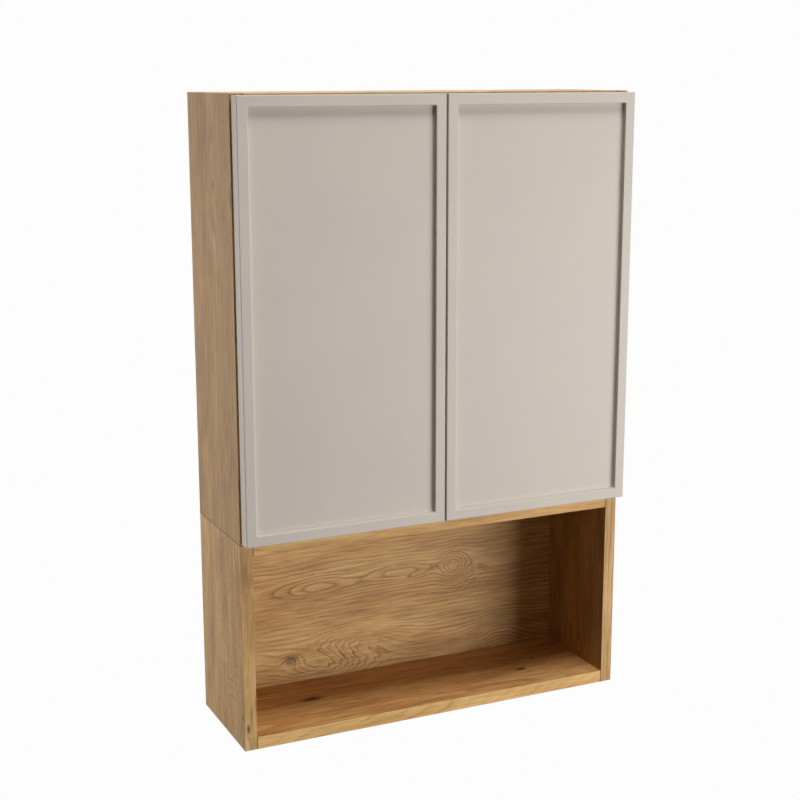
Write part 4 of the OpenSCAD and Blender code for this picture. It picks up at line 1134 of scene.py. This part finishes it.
class CABINET_OT_stage(bpy.types.Operator):
    """Set the floor, the lights, the white surroundings and the camera"""
    bl_idname = "cabinet.stage"
    bl_label = "Stage"

    def execute(self, context):
        settings = context.scene.cabinet_stage
        scene = context.scene
        scene.view_settings.view_transform = "Standard"
        self.surroundings(scene, settings.ambient)
        self.floor()
        for name, values in LAMPS.items():
            self.lamp(name + "_light", getattr(settings, name + "_power"), *values)
        camera = bpy.data.cameras.new("photo_camera")
        camera.lens, camera.sensor_width = CAMERA_LENS, CAMERA_SENSOR
        camera.clip_start, camera.clip_end = 0.01, 100.0
        view = linked("photo_camera", camera)
        view.location = CAMERA_PLACE
        view.rotation_euler = [math.radians(a) for a in CAMERA_TURN]
        scene.camera = view
        return {"FINISHED"}

    def lamp(self, name, power, azimuth, elevation, distance, width, height):
        """A rectangle of light turned to face the cabinet's middle."""
        turn, rise = math.radians(azimuth), math.radians(elevation)
        outward = Vector((math.cos(rise) * math.sin(turn), -math.cos(rise) * math.cos(turn),
                          math.sin(rise)))
        light = bpy.data.lights.new(name, "AREA")
        light.shape, light.size, light.size_y, light.energy = "RECTANGLE", width, height, power
        made = linked(name, light)
        made.location = Vector(CABINET_MIDDLE) + distance * outward
        made.rotation_euler = (-outward).to_track_quat("-Z", "Y").to_euler()
        made.visible_camera = False

    def surroundings(self, scene, ambient):
        """A faint white room that the camera, reflections and clear parts see as bright white."""
        world = bpy.data.worlds.new("white_room")
        scene.world = world
        world.use_nodes = True
        tree = world.node_tree
        tree.nodes.clear()
        path = fields_of(add(tree, "ShaderNodeLightPath", output=None))
        seen = maths("MAXIMUM", path["Is Camera Ray"], maths(
            "MAXIMUM", path["Is Glossy Ray"], path["Is Transmission Ray"]))
        room = add(tree, "ShaderNodeBackground", {"Color": (1, 1, 1, 1), "Strength": ambient})
        white = add(tree, "ShaderNodeBackground", {"Color": linear(BACKGROUND), "Strength": 1.0})
        both = add(tree, "ShaderNodeMixShader", {0: seen, 1: room, 2: white})
        add(tree, "ShaderNodeOutputWorld", {"Surface": both}, None)

    def floor(self):
        """A pale floor at its real distance under the hung cabinet, fading out at its rim."""
        bm = bmesh.new()
        bmesh.ops.create_circle(bm, cap_ends=True, segments=96, radius=FLOOR_RADIUS)
        for vert in bm.verts:
            vert.co.z = CAD_BOX[0][2] - FLOOR_DROP
        made, spot = material("pale_floor")
        tree = made.node_tree
        flat = add(tree, "ShaderNodeVectorMath", {0: spot, 1: (1, 1, 0)}, operation="MULTIPLY")
        fade = ramp(size_of(flat) / FLOOR_RADIUS, [(0.35, 0.0), (0.95, 1.0)], "EASE")
        plain = add(tree, "ShaderNodeBsdfDiffuse", {"Color": linear(FLOOR_COLOUR)})
        clear = add(tree, "ShaderNodeBsdfTransparent")
        both = add(tree, "ShaderNodeMixShader", {0: fade, 1: plain, 2: clear})
        add(tree, "ShaderNodeOutputMaterial", {"Surface": both}, None)
        floor = linked("pale_floor", closed(bm, "pale_floor", made))


class CABINET_PT_pieces(bpy.types.Panel):
    """Lists the cabinet's pieces in the sidebar"""
    bl_idname = "CABINET_PT_pieces"
    bl_label = "Wall-hung cabinet"
    bl_space_type = "VIEW_3D"
    bl_region_type = "UI"
    bl_category = "Cabinet"

    def draw(self, context):
        for name, group in GROUPS.items():
            for setting in group.__annotations__:
                self.layout.prop(getattr(context.scene, name), setting)
        for piece in PIECES:
            self.layout.operator(piece.bl_idname)


PIECES = (CABINET_OT_boards, CABINET_OT_edge_strips, CABINET_OT_doors, CABINET_OT_hinges,
          CABINET_OT_screws, CABINET_OT_joinery, CABINET_OT_latches, CABINET_OT_hangers,
          CABINET_OT_stage)
GROUPS = {"cabinet_sizes": CabinetSizes, "cabinet_colours": CabinetColours,
          "cabinet_stage": StageSettings}


def register():
    for made in (*GROUPS.values(), *PIECES, CABINET_PT_pieces):
        bpy.utils.register_class(made)
    for name, group in GROUPS.items():
        setattr(bpy.types.Scene, name, bpy.props.PointerProperty(type=group))


def unregister():
    for name in GROUPS:
        delattr(bpy.types.Scene, name)
    for made in (CABINET_PT_pieces, *PIECES, *GROUPS.values()):
        bpy.utils.unregister_class(made)


def main():
    register()
    bpy.ops.cabinet.boards()
    bpy.ops.cabinet.edge_strips()
    bpy.ops.cabinet.doors()
    bpy.ops.cabinet.hinges()
    bpy.ops.cabinet.screws()
    bpy.ops.cabinet.joinery()
    bpy.ops.cabinet.latches()
    bpy.ops.cabinet.hangers()
    bpy.ops.cabinet.stage()


if __name__ == "__main__":
    main()
